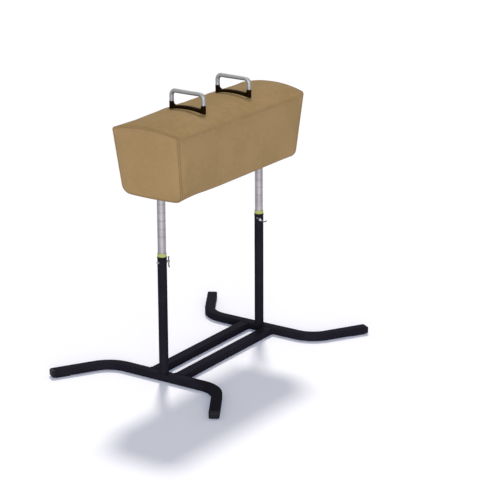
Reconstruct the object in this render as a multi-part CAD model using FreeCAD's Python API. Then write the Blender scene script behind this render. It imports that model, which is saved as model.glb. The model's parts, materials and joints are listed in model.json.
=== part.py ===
"""Pommel horse on two telescopic posts. Every separate piece is its own solid.

Millimetres, +Z up. X runs along the horse (near end at -X, far end at +X) and Y across it
(left at +Y, right at -Y). The origin is on the floor, under the middle of the horse.
"""
import FreeCAD
import Part

import math
import os

Vector = FreeCAD.Vector
X_AXIS = Vector(1, 0, 0)
Y_AXIS = Vector(0, 1, 0)
Z_AXIS = Vector(0, 0, 1)

# ---------------------------------------------------------------------------
# Driving dimensions: padded body
# ---------------------------------------------------------------------------
body_width_top = 350.0
body_width_bottom = 316.0
body_length_top = 1000.0
body_length_bottom = 906.0
body_depth = 306.0              # underside to the top edge of the sides
body_height = 884.0             # floor to underside, at the height setting shown
crown_rise = 38.0               # middle of the top above its side edges
bottom_edge_radius = 35.0       # both long lower edges

cover_thickness = 2.0
cover_seam_drop = 3.0           # top panel's seam below the top edge
top_foam_thickness = 25.0
side_foam_thickness = 20.0
end_foam_thickness = 14.0
foam_hem = 10.0                 # side and end foam stop this far above the underside

core_edge_radius = 22.0
bottom_board_thickness = 24.0
side_board_thickness = 15.0
end_board_thickness = 12.0
top_board_edge = 18.0           # top board's thickness at its long edges
bulkhead_thickness = 15.0
bulkhead_spacing = 250.0

# ---------------------------------------------------------------------------
# Driving dimensions: pommels
# ---------------------------------------------------------------------------
pommel_spacing = 363.0
grip_leg_spacing = 174.0        # between the leg centre lines
grip_rise = 48.75               # stubs' tops to the grip's centre line
grip_diameter = 20.5
grip_corner_radius = 23.0
stub_rise = 31.0                # middle of the crown to the stubs' tops
stub_diameter = 22.0
stub_chamfer = 0.7
spigot_diameter = 12.0          # reaches up into a leg
spigot_length = 20.0
saddle_width = 20.0             # along the horse
saddle_thickness = 16.5
saddle_flare = 14.0             # radius of the saddle's run up to a stub
grip_pin_diameter = 4.0
grip_pin_length = 20.0
pommel_bolt_diameter = 10.0
pommel_bolt_engagement = 14.0   # bolt's reach into the pommel base
pommel_washer_diameter = 30.0
pommel_washer_thickness = 3.0

# ---------------------------------------------------------------------------
# Driving dimensions: posts
# ---------------------------------------------------------------------------
post_inset = 60.0               # end of the body's underside to a post's axis
post_tube_diameter = 43.0
post_tube_wall = 1.5
post_tube_top = 597.0           # floor to the outer tube's top
inner_tube_diameter = 38.0
inner_tube_wall = 3.0
inner_tube_length = 545.0
ring_pitch = 37.5               # height rings on the inner tube
ring_count = 10
ring_first_drop = 35.5          # first ring below the mounting flange
ring_width = 1.6
ring_depth = 0.5
keyway_depth = 1.6
collar_height = 10.0
collar_wall = 1.0
bush_flange_height = 17.0
bush_flange_diameter = 42.0
bush_sleeve_length = 14.0
bush_chamfer = 2.0
glide_flange_height = 20.0
glide_spigot_length = 25.0
travel_up = 100.0
travel_down = 250.0

flange_length = 76.0            # along the horse
flange_width = 140.0            # across the horse
flange_thickness = 6.0
flange_corner_radius = 10.0
flange_bolt_spacing_x = 44.0
flange_bolt_spacing_y = 104.0
flange_bolt_diameter = 10.0
anchor_plate_length = 60.0
anchor_plate_width = 130.0
anchor_plate_thickness = 5.0
hexagon_ratio = 1.6             # across flats, over the thread's diameter
bolt_head_ratio = 0.64          # head height, over the thread's diameter
nut_ratio = 0.8                 # nut height, over the thread's diameter
bolt_end_length = 2.0           # thread that shows past a nut

# ---------------------------------------------------------------------------
# Driving dimensions: clamping screw, its cross bar and the guide screw
# ---------------------------------------------------------------------------
clamp_drop = 24.5               # clamping screw's axis below the outer tube's top
clamp_angle = -45.0             # near post, seen from above, from +X
clamp_boss_diameter = 13.0
clamp_boss_reach = 24.0         # boss face from the post's axis
clamp_screw_diameter = 8.0
clamp_screw_backed_off = 1.6    # head to boss
clamp_head_diameter = 10.0
clamp_head_length = 9.0
clamp_head_chamfer = 1.0
thrust_pad_thickness = 4.0
nose_diameter = 4.0
nose_length = 2.2
cross_bar_diameter = 6.0
cross_bar_short_end = 16.0      # screw's axis to the start of the bend
cross_bar_long_end = 22.0       # screw's axis to the straight end
cross_bar_bend_radius = 12.0
cross_bar_bend_angle = 50.0
cross_bar_bent_length = 10.0
cross_bar_stop_diameter = 8.0
cross_bar_stop_length = 3.0
cross_bar_turn_near = -90.0     # bent end's direction, about the screw's axis
cross_bar_turn_far = -35.0
cross_bar_crank_near = 70.0     # the bend's direction, from outwards towards sideways
cross_bar_crank_far = 105.0

guide_screw_drop = 25.0         # guide screw's axis below the outer tube's top
guide_screw_angle = 167.0       # near post, seen from above, from +X
guide_boss_diameter = 12.0
guide_boss_reach = 23.0
guide_head_diameter = 10.5
guide_head_length = 8.0
guide_head_chamfer = 0.75
guide_dog_diameter = 5.0

# ---------------------------------------------------------------------------
# Driving dimensions: base frame
# ---------------------------------------------------------------------------
foot_tube_width = 48.0
foot_tube_height = 35.0
foot_tube_wall = 3.0
foot_tube_edge_radius = 5.0
foot_corner_y = 299.0           # where the foot tube's two straight lines meet
foot_bend_angle = 58.8
foot_bend_radius = 145.0
foot_end_length = 302.0         # from that corner to the end cap's face
spreader_width = 50.0
spreader_gap = 86.0
end_cap_head = 12.0
end_cap_corner_radius = 10.0
end_cap_spigot = 30.0
foot_pad_thickness = 3.0
foot_pad_length = 70.0
foot_pad_width = 36.0
foot_pad_setback = 20.0         # pad's edge from the end cap's face

# ---------------------------------------------------------------------------
# Clearances
# ---------------------------------------------------------------------------
running_clearance = 0.06        # radial, where one piece slides or turns in another
seat_clearance = 0.05           # radial, where a piece is fixed in another
bolt_hole_clearance = 0.5       # radial
free_clearance = 0.3            # between pieces that move past each other
overshoot = 1.0                 # how far a cutting shape reaches past what it cuts
same_place = 1e-3               # places nearer than this count as one

# ---------------------------------------------------------------------------
# Sizes that follow from the driving dimensions
# ---------------------------------------------------------------------------
frame_reach = 2.0 * body_length_top     # cutting blocks reach well past the horse

body_top_edge = body_height + body_depth
side_slope = (body_width_top - body_width_bottom) / 2.0 / body_depth
end_slope = (body_length_top - body_length_bottom) / 2.0 / body_depth
side_lean = math.cos(math.atan(side_slope))
end_lean = math.cos(math.atan(end_slope))
crown_radius = ((body_width_top / 2.0) ** 2 + crown_rise ** 2) / (2.0 * crown_rise)
crown_centre = body_top_edge + crown_rise - crown_radius
stub_height = body_top_edge + crown_rise + stub_rise
grip_height = stub_height + grip_rise

core_side_inset = cover_thickness + side_foam_thickness
core_top_inset = cover_thickness + top_foam_thickness
core_end_inset = cover_thickness + end_foam_thickness

post_spacing = body_length_bottom - 2.0 * post_inset
post_bore_radius = post_tube_diameter / 2.0 - post_tube_wall
inner_tube_radius = inner_tube_diameter / 2.0
inner_bore_radius = inner_tube_radius - inner_tube_wall
inner_tube_top = body_height - flange_thickness
inner_tube_bottom = inner_tube_top - inner_tube_length
clamp_height = post_tube_top - clamp_drop
guide_height = post_tube_top - guide_screw_drop
foot_tube_top = foot_pad_thickness + foot_tube_height

SIDES = {"near": -1.0, "far": 1.0}


# ---------------------------------------------------------------------------
# Small shape helpers
# ---------------------------------------------------------------------------
def box(low, high):
    """Box between two corners."""
    return Part.makeBox(high[0] - low[0], high[1] - low[1], high[2] - low[2], Vector(*low))


def slab(z_low, z_high):
    """Everything between two heights."""
    return box((-frame_reach, -frame_reach, z_low), (frame_reach, frame_reach, z_high))


def rod(radius, start, end):
    """Round rod between two points."""
    axis = end - start
    return Part.makeCylinder(radius, axis.Length, start, axis)


def upright(radius, x, y, z_low, z_high):
    """Round rod standing at x, y."""
    return rod(radius, Vector(x, y, z_low), Vector(x, y, z_high))


def ring(outer_radius, inner_radius, x, z_low, z_high):
    """Upright ring or tube whose axis stands at x, 0."""
    return upright(outer_radius, x, 0, z_low, z_high).cut(
        upright(inner_radius, x, 0, z_low - overshoot, z_high + overshoot))


def hexagon(thread_diameter, x, y, z_low, z_high):
    """Upright hexagonal prism, as a bolt's head or a nut."""
    corner_radius = thread_diameter * hexagon_ratio / math.sqrt(3.0)
    corners = [
        Vector(x + corner_radius * math.cos(math.radians(60 * k)),
               y + corner_radius * math.sin(math.radians(60 * k)), z_low)
        for k in range(7)
    ]
    return Part.Face(Part.makePolygon(corners)).extrude(Z_AXIS * (z_high - z_low))


def edges_along(shape, direction, test=None):
    """Straight edges of a shape that run along a direction and pass a test on their middle."""
    found = []
    for edge in shape.Edges:
        if not isinstance(edge.Curve, Part.Line):
            continue
        run = edge.Vertexes[-1].Point - edge.Vertexes[0].Point
        middle = (edge.Vertexes[-1].Point + edge.Vertexes[0].Point) * 0.5
        if run.cross(direction).Length < 1e-6 * run.Length and (test is None or test(middle)):
            found.append(edge)
    return found


def rounded_bar(length, width, height, radius):
    """Solid bar along +X from the origin, centred on the X axis, with rounded long edges."""
    bar = box((0, -width / 2.0, -height / 2.0), (length, width / 2.0, height / 2.0))
    return bar.makeFillet(radius, edges_along(bar, X_AXIS))


def rounded_path(points, bend_radius):
    """Wire through points, straight between them, with a tangent arc at each inner point."""
    edges = []
    start = points[0]
    for before, corner, after in zip(points, points[1:], points[2:]):
        into = (corner - before).normalize()
        out = (after - corner).normalize()
        half_turn = into.getAngle(out) / 2.0
        tangent = bend_radius * math.tan(half_turn)
        inward = (out - into).normalize()
        centre = corner + inward * (bend_radius / math.cos(half_turn))
        arc_start = corner - into * tangent
        arc_end = corner + out * tangent
        edges.append(Part.makeLine(start, arc_start))
        edges.append(Part.Arc(arc_start, centre - inward * bend_radius, arc_end).toShape())
        start = arc_end
    edges.append(Part.makeLine(start, points[-1]))
    return Part.Wire(edges)


def swept(section, path):
    """Solid drawn out of a closed section wire along a path that starts in its plane."""
    return path.makePipeShell([section], True, False)


def bent_rod(points, bend_radius, radius):
    """Round rod along points, with bends."""
    circle = Part.Wire(Part.makeCircle(radius, points[0], points[1] - points[0]))
    return swept(circle, rounded_path(points, bend_radius))


def bent_bar(points, bend_radius, width, height, edge_radius):
    """Flat-lying rectangular bar with rounded edges along points at one height, with bends."""
    run = points[1] - points[0]
    bar = rounded_bar(1.0, width, height, edge_radius)
    section = [face for face in bar.Faces if face.normalAt(0, 0).isEqual(-X_AXIS, 1e-6)][0]
    wire = section.OuterWire
    wire.rotate(Vector(0, 0, 0), Z_AXIS, math.degrees(math.atan2(run.y, run.x)))
    wire.translate(points[0])
    return swept(wire, rounded_path(points, bend_radius))


def placed(shape, angle, x, y, z):
    """Copy of a shape made along +X at the origin: turned about Z, then moved."""
    copy = shape.copy()
    copy.rotate(Vector(0, 0, 0), Z_AXIS, angle)
    copy.translate(Vector(x, y, z))
    return copy


def single(shape):
    """The one solid that a boolean result holds, with split faces joined."""
    return shape.removeSplitter().Solids[0]


def split_by_side(shape, axis):
    """The solids of a shape, from the lowest to the highest along an axis."""
    return sorted(shape.removeSplitter().Solids, key=lambda solid: solid.CenterOfMass.dot(axis))


# ---------------------------------------------------------------------------
# Padded body
# ---------------------------------------------------------------------------
def half_width(z, inset):
    """Half the body's width at a height, with its side faces inset."""
    return body_width_bottom / 2.0 + (z - body_height) * side_slope - inset / side_lean


def half_length(z, inset):
    """Half the body's length at a height, with its end faces inset."""
    return body_length_bottom / 2.0 + (z - body_height) * end_slope - inset / end_lean


def crown_z(y, inset):
    """Height of the crowned top at y, inset below its outer surface."""
    return crown_centre + math.sqrt((crown_radius - inset) ** 2 - y ** 2)


def crown_corner(side_inset, top_inset):
    """Where an inset side face meets the inset crown, as (y, z)."""
    base = half_width(0.0, side_inset)
    a = 1.0 + side_slope ** 2
    b = base * side_slope - crown_centre
    c = base ** 2 + crown_centre ** 2 - (crown_radius - top_inset) ** 2
    z = (-b + math.sqrt(b ** 2 - a * c)) / a
    return half_width(z, side_inset), z


def between_ends(inset):
    """Everything between the body's two leaning end planes, each inset."""
    high = 2.0 * body_top_edge
    outline = Part.makePolygon([
        Vector(-half_length(0, inset), -frame_reach, 0),
        Vector(half_length(0, inset), -frame_reach, 0),
        Vector(half_length(high, inset), -frame_reach, high),
        Vector(-half_length(high, inset), -frame_reach, high),
        Vector(-half_length(0, inset), -frame_reach, 0),
    ])
    return Part.Face(outline).extrude(Y_AXIS * 2.0 * frame_reach)


def between_sides(inset):
    """Everything between the body's two leaning side planes, each inset."""
    high = 2.0 * body_top_edge
    outline = Part.makePolygon([
        Vector(-frame_reach, -half_width(0, inset), 0),
        Vector(-frame_reach, half_width(0, inset), 0),
        Vector(-frame_reach, half_width(high, inset), high),
        Vector(-frame_reach, -half_width(high, inset), high),
        Vector(-frame_reach, -half_width(0, inset), 0),
    ])
    return Part.Face(outline).extrude(X_AXIS * 2.0 * frame_reach)


def body_block(side_inset, top_inset, bottom_inset, end_inset, edge_radius):
    """The body's whole outer form, inset from its faces, with both long lower edges rounded."""
    z_low = body_height + bottom_inset
    y_low = half_width(z_low, side_inset)
    y_high, z_high = crown_corner(side_inset, top_inset)
    apex = crown_z(0.0, top_inset)
    x = -frame_reach
    edges = [
        Part.makeLine(Vector(x, -y_low, z_low), Vector(x, y_low, z_low)),
        Part.makeLine(Vector(x, y_low, z_low), Vector(x, y_high, z_high)),
        Part.Arc(Vector(x, y_high, z_high), Vector(x, 0, apex), Vector(x, -y_high, z_high)).toShape(),
        Part.makeLine(Vector(x, -y_high, z_high), Vector(x, -y_low, z_low)),
    ]
    bar = Part.Face(Part.Wire(edges)).extrude(X_AXIS * 2.0 * frame_reach)
    lower_edges = edges_along(bar, X_AXIS, lambda middle: abs(middle.z - z_low) < same_place)
    return single(bar.makeFillet(edge_radius, lower_edges).common(between_ends(end_inset)))


def flange_bolt_places():
    """Every flange bolt's (x, y)."""
    return [
        (side * post_spacing / 2.0 + along * flange_bolt_spacing_x / 2.0,
         across * flange_bolt_spacing_y / 2.0)
        for side in SIDES.values() for along in (-1, 1) for across in (-1, 1)
    ]


def pommel_bolt_places():
    """Every pommel bolt's (x, y)."""
    return [
        (side * pommel_spacing / 2.0, across * grip_leg_spacing / 2.0)
        for side in SIDES.values() for across in (-1, 1)
    ]


def bolt_holes(places, diameter, z_low, z_high):
    """Clearance holes for upright bolts, as one cutting shape."""
    radius = diameter / 2.0 + bolt_hole_clearance
    return Part.makeCompound([upright(radius, x, y, z_low, z_high) for x, y in places])


def cover_pieces(outer, inner):
    """Cover panels: top, two sides, two ends and the underside."""
    shell = outer.cut(inner)
    seam_z = body_top_edge - cover_seam_drop
    pommel_holes = bolt_holes(pommel_bolt_places(), pommel_bolt_diameter, seam_z, 2.0 * body_top_edge)
    flange_holes = bolt_holes(flange_bolt_places(), flange_bolt_diameter, 0.0, body_top_edge)
    top = shell.common(slab(seam_z, 2.0 * body_top_edge)).cut(pommel_holes)
    walls = shell.common(slab(0.0, seam_z))
    within = between_ends(cover_thickness)
    near_end, far_end = split_by_side(walls.cut(within), X_AXIS)
    flat_half_width = half_width(body_height, 0.0) - bottom_edge_radius
    strip = box((-frame_reach, -flat_half_width, 0),
                (frame_reach, flat_half_width, body_height + bottom_board_thickness))
    middle = walls.common(within)
    right_side, left_side = split_by_side(middle.cut(strip), Y_AXIS)
    return {
        "cover_top": single(top),
        "cover_side_left": left_side,
        "cover_side_right": right_side,
        "cover_end_near": near_end,
        "cover_end_far": far_end,
        "cover_bottom": single(middle.common(strip).cut(flange_holes)),
    }


def foam_pieces(inner, core):
    """Foam between the cover and the wooden core."""
    padding = inner.cut(core)
    core_top_edge = crown_corner(core_side_inset, core_top_inset)[1]
    pommel_holes = bolt_holes(pommel_bolt_places(), pommel_bolt_diameter,
                              core_top_edge, 2.0 * body_top_edge)
    top = padding.common(slab(core_top_edge, 2.0 * body_top_edge)).cut(pommel_holes)
    walls = padding.common(slab(body_height + foam_hem, core_top_edge))
    within = between_ends(core_end_inset)
    near_end, far_end = split_by_side(walls.cut(within), X_AXIS)
    right_side, left_side = split_by_side(walls.common(within), Y_AXIS)
    return {
        "top_foam": single(top),
        "side_foam_left": left_side,
        "side_foam_right": right_side,
        "end_foam_near": near_end,
        "end_foam_far": far_end,
    }


def floor_level():
    """Upper face of the bottom board."""
    return body_height + cover_thickness + bottom_board_thickness


def ceiling_level():
    """Flat underside of the crowned top board."""
    return crown_corner(core_side_inset, core_top_inset)[1] - top_board_edge


def board_pieces(core):
    """Wooden core: a closed box of boards with three bulkheads under a crowned top board."""
    bottom = core.common(slab(0.0, floor_level())).cut(
        bolt_holes(flange_bolt_places(), flange_bolt_diameter, 0.0, floor_level() + overshoot))
    top = core.common(slab(ceiling_level(), 2.0 * body_top_edge)).cut(
        bolt_holes(pommel_bolt_places(), pommel_bolt_diameter, 0.0, 2.0 * body_top_edge))
    walls = core.common(slab(floor_level(), ceiling_level()))
    within_sides = between_sides(core_side_inset + side_board_thickness)
    within_ends = between_ends(core_end_inset + end_board_thickness)
    right_side, left_side = split_by_side(walls.cut(within_sides), Y_AXIS)
    inside = walls.common(within_sides)
    near_end, far_end = split_by_side(inside.cut(within_ends), X_AXIS)
    pieces = {
        "bottom_board": single(bottom),
        "top_board": single(top),
        "side_board_left": left_side,
        "side_board_right": right_side,
        "end_board_near": near_end,
        "end_board_far": far_end,
    }
    for name, side in (("near", -1.0), ("middle", 0.0), ("far", 1.0)):
        middle_x = side * bulkhead_spacing
        pieces["bulkhead_" + name] = single(inside.common(box(
            (middle_x - bulkhead_thickness / 2.0, -frame_reach, 0),
            (middle_x + bulkhead_thickness / 2.0, frame_reach, 2.0 * body_top_edge))))
    return pieces


def body_pieces():
    """Cover, foam and wooden core."""
    outer = body_block(0.0, 0.0, 0.0, 0.0, bottom_edge_radius)
    inner = body_block(cover_thickness, cover_thickness, cover_thickness, cover_thickness,
                       bottom_edge_radius - cover_thickness)
    core = body_block(core_side_inset, core_top_inset, cover_thickness, core_end_inset,
                      core_edge_radius)
    pieces = cover_pieces(outer, inner)
    pieces.update(foam_pieces(inner, core))
    pieces.update(board_pieces(core))
    return pieces


# ---------------------------------------------------------------------------
# Pommels
# ---------------------------------------------------------------------------
def crown_solid(radius, x_low, x_high):
    """Round bar along the horse about the crown's centre line."""
    return rod(radius, Vector(x_low, 0, crown_centre), Vector(x_high, 0, crown_centre))


def saddle_strip(x):
    """Strip that follows the crown from one stub's axis to the other's."""
    half_leg = grip_leg_spacing / 2.0
    x_low = x - saddle_width / 2.0
    x_high = x + saddle_width / 2.0
    return crown_solid(crown_radius + saddle_thickness, x_low, x_high).common(
        box((x_low, -half_leg, body_top_edge), (x_high, half_leg, stub_height)))


def saddle_run_up(x, across):
    """The strip's hollow run up to a stub, turned about the stub's axis."""
    stub_radius = stub_diameter / 2.0
    reach = stub_radius + saddle_flare
    tip_y = grip_leg_spacing / 2.0 - reach
    tip_z = crown_centre + math.sqrt((crown_radius + saddle_thickness) ** 2 - tip_y ** 2)
    high_z = tip_z + saddle_flare
    sag = saddle_flare * (1.0 - math.sqrt(0.5))
    outline = [
        Part.makeLine(Vector(0, 0, body_top_edge), Vector(reach, 0, body_top_edge)),
        Part.makeLine(Vector(reach, 0, body_top_edge), Vector(reach, 0, tip_z)),
        Part.Arc(Vector(reach, 0, tip_z), Vector(stub_radius + sag, 0, tip_z + sag),
                 Vector(stub_radius, 0, high_z)).toShape(),
        Part.makeLine(Vector(stub_radius, 0, high_z), Vector(0, 0, high_z)),
        Part.makeLine(Vector(0, 0, high_z), Vector(0, 0, body_top_edge)),
    ]
    turned = Part.Face(Part.Wire(outline)).revolve(Vector(0, 0, 0), Z_AXIS, 360.0)
    y_inner, y_outer = sorted((-across * reach, 0.0))
    half = box((-saddle_width / 2.0, y_inner, body_top_edge), (saddle_width / 2.0, y_outer, high_z))
    return placed(turned.common(half), 0.0, x, across * grip_leg_spacing / 2.0, 0.0)


def stub(x, across):
    """Round stub that a leg stands on, with the spigot that reaches up into the leg."""
    y = across * grip_leg_spacing / 2.0
    post = upright(stub_diameter / 2.0, x, y, body_top_edge, stub_height)
    rim = [edge for edge in post.Edges if edge.BoundBox.ZMin > stub_height - same_place]
    post = post.makeChamfer(stub_chamfer, rim)
    return post.fuse(upright(spigot_diameter / 2.0, x, y, body_top_edge, stub_height + spigot_length))


def pommel_base(x):
    """Saddle base: a strip that follows the crown, rising to a stub for each leg of the grip."""
    half_leg = grip_leg_spacing / 2.0
    rising = [shape(x, across) for across in (-1, 1) for shape in (saddle_run_up, stub)]
    crown = crown_solid(crown_radius, x - stub_diameter, x + stub_diameter)
    bolt_top = crown_z(half_leg, 0.0) + pommel_bolt_engagement
    bolt_bores = [upright(pommel_bolt_diameter / 2.0 + seat_clearance, x, across * half_leg,
                          body_top_edge, bolt_top + overshoot) for across in (-1, 1)]
    return single(saddle_strip(x).fuse(rising).cut([crown] + bolt_bores + pin_holes(x)))


def pin_level():
    """Height of the cross pins that hold the grip's legs."""
    return stub_height + spigot_length / 2.0


def pin_holes(x):
    """Holes for a pommel's two cross pins."""
    reach = grip_diameter
    radius = grip_pin_diameter / 2.0 + seat_clearance
    return [rod(radius, Vector(x - reach, across * grip_leg_spacing / 2.0, pin_level()),
                Vector(x + reach, across * grip_leg_spacing / 2.0, pin_level())) for across in (-1, 1)]


def pommel_grip(x):
    """Round grip bar: a straight top with rounded corners, and two legs bored for the spigots."""
    half_leg = grip_leg_spacing / 2.0
    route = [Vector(x, -half_leg, stub_height), Vector(x, -half_leg, grip_height),
             Vector(x, half_leg, grip_height), Vector(x, half_leg, stub_height)]
    bar = bent_rod(route, grip_corner_radius, grip_diameter / 2.0)
    bores = [upright(spigot_diameter / 2.0 + seat_clearance, x, across * half_leg,
                     stub_height - overshoot, stub_height + spigot_length + overshoot)
             for across in (-1, 1)]
    return single(bar.cut(bores + pin_holes(x)))


def pommel_pieces():
    """Both pommels and what fastens them."""
    pieces = {"grip_pins": [], "pommel_bolts": [], "pommel_washers": []}
    for name, side in SIDES.items():
        x = side * pommel_spacing / 2.0
        pieces["pommel_base_" + name] = pommel_base(x)
        pieces["pommel_grip_" + name] = pommel_grip(x)
    washer_low = ceiling_level() - pommel_washer_thickness
    bolt_radius = pommel_bolt_diameter / 2.0
    head_height = pommel_bolt_diameter * bolt_head_ratio
    for x, y in pommel_bolt_places():
        pieces["grip_pins"].append(rod(grip_pin_diameter / 2.0,
                                       Vector(x - grip_pin_length / 2.0, y, pin_level()),
                                       Vector(x + grip_pin_length / 2.0, y, pin_level())))
        washer = upright(pommel_washer_diameter / 2.0, x, y, washer_low, ceiling_level())
        pieces["pommel_washers"].append(washer.cut(
            upright(bolt_radius + bolt_hole_clearance, x, y, 0.0, body_top_edge)))
        head = hexagon(pommel_bolt_diameter, x, y, washer_low - head_height, washer_low)
        shank = upright(bolt_radius, x, y, washer_low, crown_z(y, 0.0) + pommel_bolt_engagement)
        pieces["pommel_bolts"].append(single(head.fuse(shank)))
    return pieces


# ---------------------------------------------------------------------------
# Posts
# ---------------------------------------------------------------------------
def mirrored_angle(angle, side):
    """An angle given for the near post, mirrored end to end for the far post."""
    return angle if side < 0 else 180.0 - angle


def radial_rod(radius, start, end):
    """Round rod along +X between two distances from the post's axis."""
    return rod(radius, Vector(start, 0, 0), Vector(end, 0, 0))


def at_clamp(shape, side):
    """A shape made along +X, set on a post's clamping axis."""
    return placed(shape, mirrored_angle(clamp_angle, side),
                  side * post_spacing / 2.0, 0, clamp_height)


def at_guide(shape, side):
    """A shape made along +X, set on a post's guide screw axis."""
    return placed(shape, mirrored_angle(guide_screw_angle, side),
                  side * post_spacing / 2.0, 0, guide_height)


def clamp_bore():
    """Bore for the clamping screw and its thrust pad, through the tube's wall and the boss."""
    return radial_rod(clamp_screw_diameter / 2.0 + running_clearance,
                      inner_tube_radius, clamp_boss_reach + overshoot)


def guide_bore():
    """Bore for the guide screw, through the tube's wall and the boss."""
    return radial_rod(guide_dog_diameter / 2.0 + seat_clearance,
                      inner_tube_radius, guide_boss_reach + overshoot)


def saddled_boss(diameter, reach, bore):
    """Boss welded to the outer tube, shaped to its round face."""
    boss = radial_rod(diameter / 2.0, 0.0, reach)
    tube = rod(post_tube_diameter / 2.0, Vector(0, 0, -diameter), Vector(0, 0, diameter))
    return single(boss.cut(tube).cut(bore))


def post_tube(side):
    """Outer tube, from the foot tube to the collar."""
    x = side * post_spacing / 2.0
    tube = ring(post_tube_diameter / 2.0, post_bore_radius, x, foot_tube_top, post_tube_top)
    return single(tube.cut([at_clamp(clamp_bore(), side), at_guide(guide_bore(), side)]))


def guide_bush(side):
    """Plastic bush that the inner tube slides through, with a flange on the outer tube's end."""
    x = side * post_spacing / 2.0
    flange = upright(bush_flange_diameter / 2.0, x, 0,
                     post_tube_top, post_tube_top + bush_flange_height)
    rim = [edge for edge in flange.Edges if edge.BoundBox.ZMin > post_tube_top + bush_flange_height / 2.0]
    flange = flange.makeChamfer(bush_chamfer, rim)
    sleeve = upright(post_bore_radius - seat_clearance, x, 0,
                     post_tube_top - bush_sleeve_length, post_tube_top)
    bore = upright(inner_tube_radius + running_clearance, x, 0, 0, body_height)
    return single(flange.fuse(sleeve).cut(bore))


def keyway(side):
    """Groove in the inner tube for the guide screw, as long as the travel."""
    radius = guide_dog_diameter / 2.0 + free_clearance
    start = inner_tube_radius - keyway_depth
    end = inner_tube_radius + keyway_depth
    straight = box((start, -radius, -travel_up), (end, radius, travel_down))
    ends = [rod(radius, Vector(start, 0, z), Vector(end, 0, z)) for z in (-travel_up, travel_down)]
    return at_guide(straight.fuse(ends), side)


def inner_tube(side):
    """Sliding tube with turned height rings and a keyway."""
    x = side * post_spacing / 2.0
    tube = ring(inner_tube_radius, inner_bore_radius, x, inner_tube_bottom, inner_tube_top)
    grooves = []
    for k in range(ring_count):
        middle = inner_tube_top - ring_first_drop - k * ring_pitch
        grooves.append(ring(inner_tube_radius + overshoot, inner_tube_radius - ring_depth, x,
                            middle - ring_width / 2.0, middle + ring_width / 2.0))
    return single(tube.cut(grooves + [keyway(side)]))


def glide_plug(side):
    """Plug in the inner tube's lower end, whose flange slides in the outer tube."""
    x = side * post_spacing / 2.0
    flange = upright(post_bore_radius - running_clearance, x, 0,
                     inner_tube_bottom - glide_flange_height, inner_tube_bottom)
    spigot = upright(inner_bore_radius - seat_clearance, x, 0,
                     inner_tube_bottom, inner_tube_bottom + glide_spigot_length)
    return single(flange.fuse(spigot))


def mounting_flange(side):
    """Plate welded on the inner tube's top, bolted to the body's underside."""
    x = side * post_spacing / 2.0
    plate = box((x - flange_length / 2.0, -flange_width / 2.0, inner_tube_top),
                (x + flange_length / 2.0, flange_width / 2.0, body_height))
    plate = plate.makeFillet(flange_corner_radius, edges_along(plate, Z_AXIS))
    return single(plate.cut(bolt_holes(flange_bolt_places(), flange_bolt_diameter, 0.0, body_top_edge)))


def anchor_plate(side):
    """Plate on the bottom board that the flange bolts pull on."""
    x = side * post_spacing / 2.0
    plate = box((x - anchor_plate_length / 2.0, -anchor_plate_width / 2.0, floor_level()),
                (x + anchor_plate_length / 2.0, anchor_plate_width / 2.0,
                 floor_level() + anchor_plate_thickness))
    return single(plate.cut(bolt_holes(flange_bolt_places(), flange_bolt_diameter, 0.0, body_top_edge)))


def thrust_pad(side):
    """Pad on the clamping screw's nose, clear of the inner tube while it is released."""
    face = inner_tube_radius + free_clearance
    back = face + thrust_pad_thickness
    pad = radial_rod(clamp_screw_diameter / 2.0, face, back)
    socket = radial_rod(nose_diameter / 2.0 + running_clearance, back - nose_length, back + overshoot)
    return single(at_clamp(pad.cut(socket), side))


def clamp_head_middle():
    """Distance from the post's axis to the middle of the clamping screw's head."""
    return clamp_boss_reach + clamp_screw_backed_off + clamp_head_length / 2.0


def cross_bar_directions(side):
    """The cross bar's run, and the direction that its bent end turns to."""
    turn = math.radians(cross_bar_turn_near if side < 0 else cross_bar_turn_far)
    crank = math.radians(cross_bar_crank_near if side < 0 else cross_bar_crank_far)
    run = Vector(0, math.cos(turn), math.sin(turn))
    sideways = X_AXIS.cross(run)
    return run, X_AXIS * math.cos(crank) + sideways * math.sin(crank)


def clamp_screw(side):
    """Clamping screw with a round head, cross-drilled for its bar."""
    head_start = clamp_boss_reach + clamp_screw_backed_off
    head_end = head_start + clamp_head_length
    tip = inner_tube_radius + free_clearance + thrust_pad_thickness + free_clearance
    nose = radial_rod(nose_diameter / 2.0, tip - nose_length, tip)
    shank = radial_rod(clamp_screw_diameter / 2.0, tip, head_start)
    head = radial_rod(clamp_head_diameter / 2.0, head_start, head_end)
    rims = [edge for edge in head.Edges if isinstance(edge.Curve, Part.Circle)]
    head = head.makeChamfer(clamp_head_chamfer, rims)
    run = cross_bar_directions(side)[0]
    middle = X_AXIS * clamp_head_middle()
    cross_hole = rod(cross_bar_diameter / 2.0 + running_clearance,
                     middle - run * clamp_head_diameter, middle + run * clamp_head_diameter)
    return single(at_clamp(shank.fuse([nose, head]).cut(cross_hole), side))


def cross_bar(side):
    """Bar through the clamping screw's head: a stop on one end, the other end bent."""
    run, crank = cross_bar_directions(side)
    bend = math.radians(cross_bar_bend_angle)
    middle = X_AXIS * clamp_head_middle()
    tangent = cross_bar_bend_radius * math.tan(bend / 2.0)
    start = middle - run * cross_bar_long_end
    corner = middle + run * (cross_bar_short_end + tangent)
    end = corner + (run * math.cos(bend) + crank * math.sin(bend)) * (tangent + cross_bar_bent_length)
    bar = bent_rod([start, corner, end], cross_bar_bend_radius, cross_bar_diameter / 2.0)
    stop = rod(cross_bar_stop_diameter / 2.0, start, start + run * cross_bar_stop_length)
    return single(at_clamp(bar.fuse(stop), side))


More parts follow.
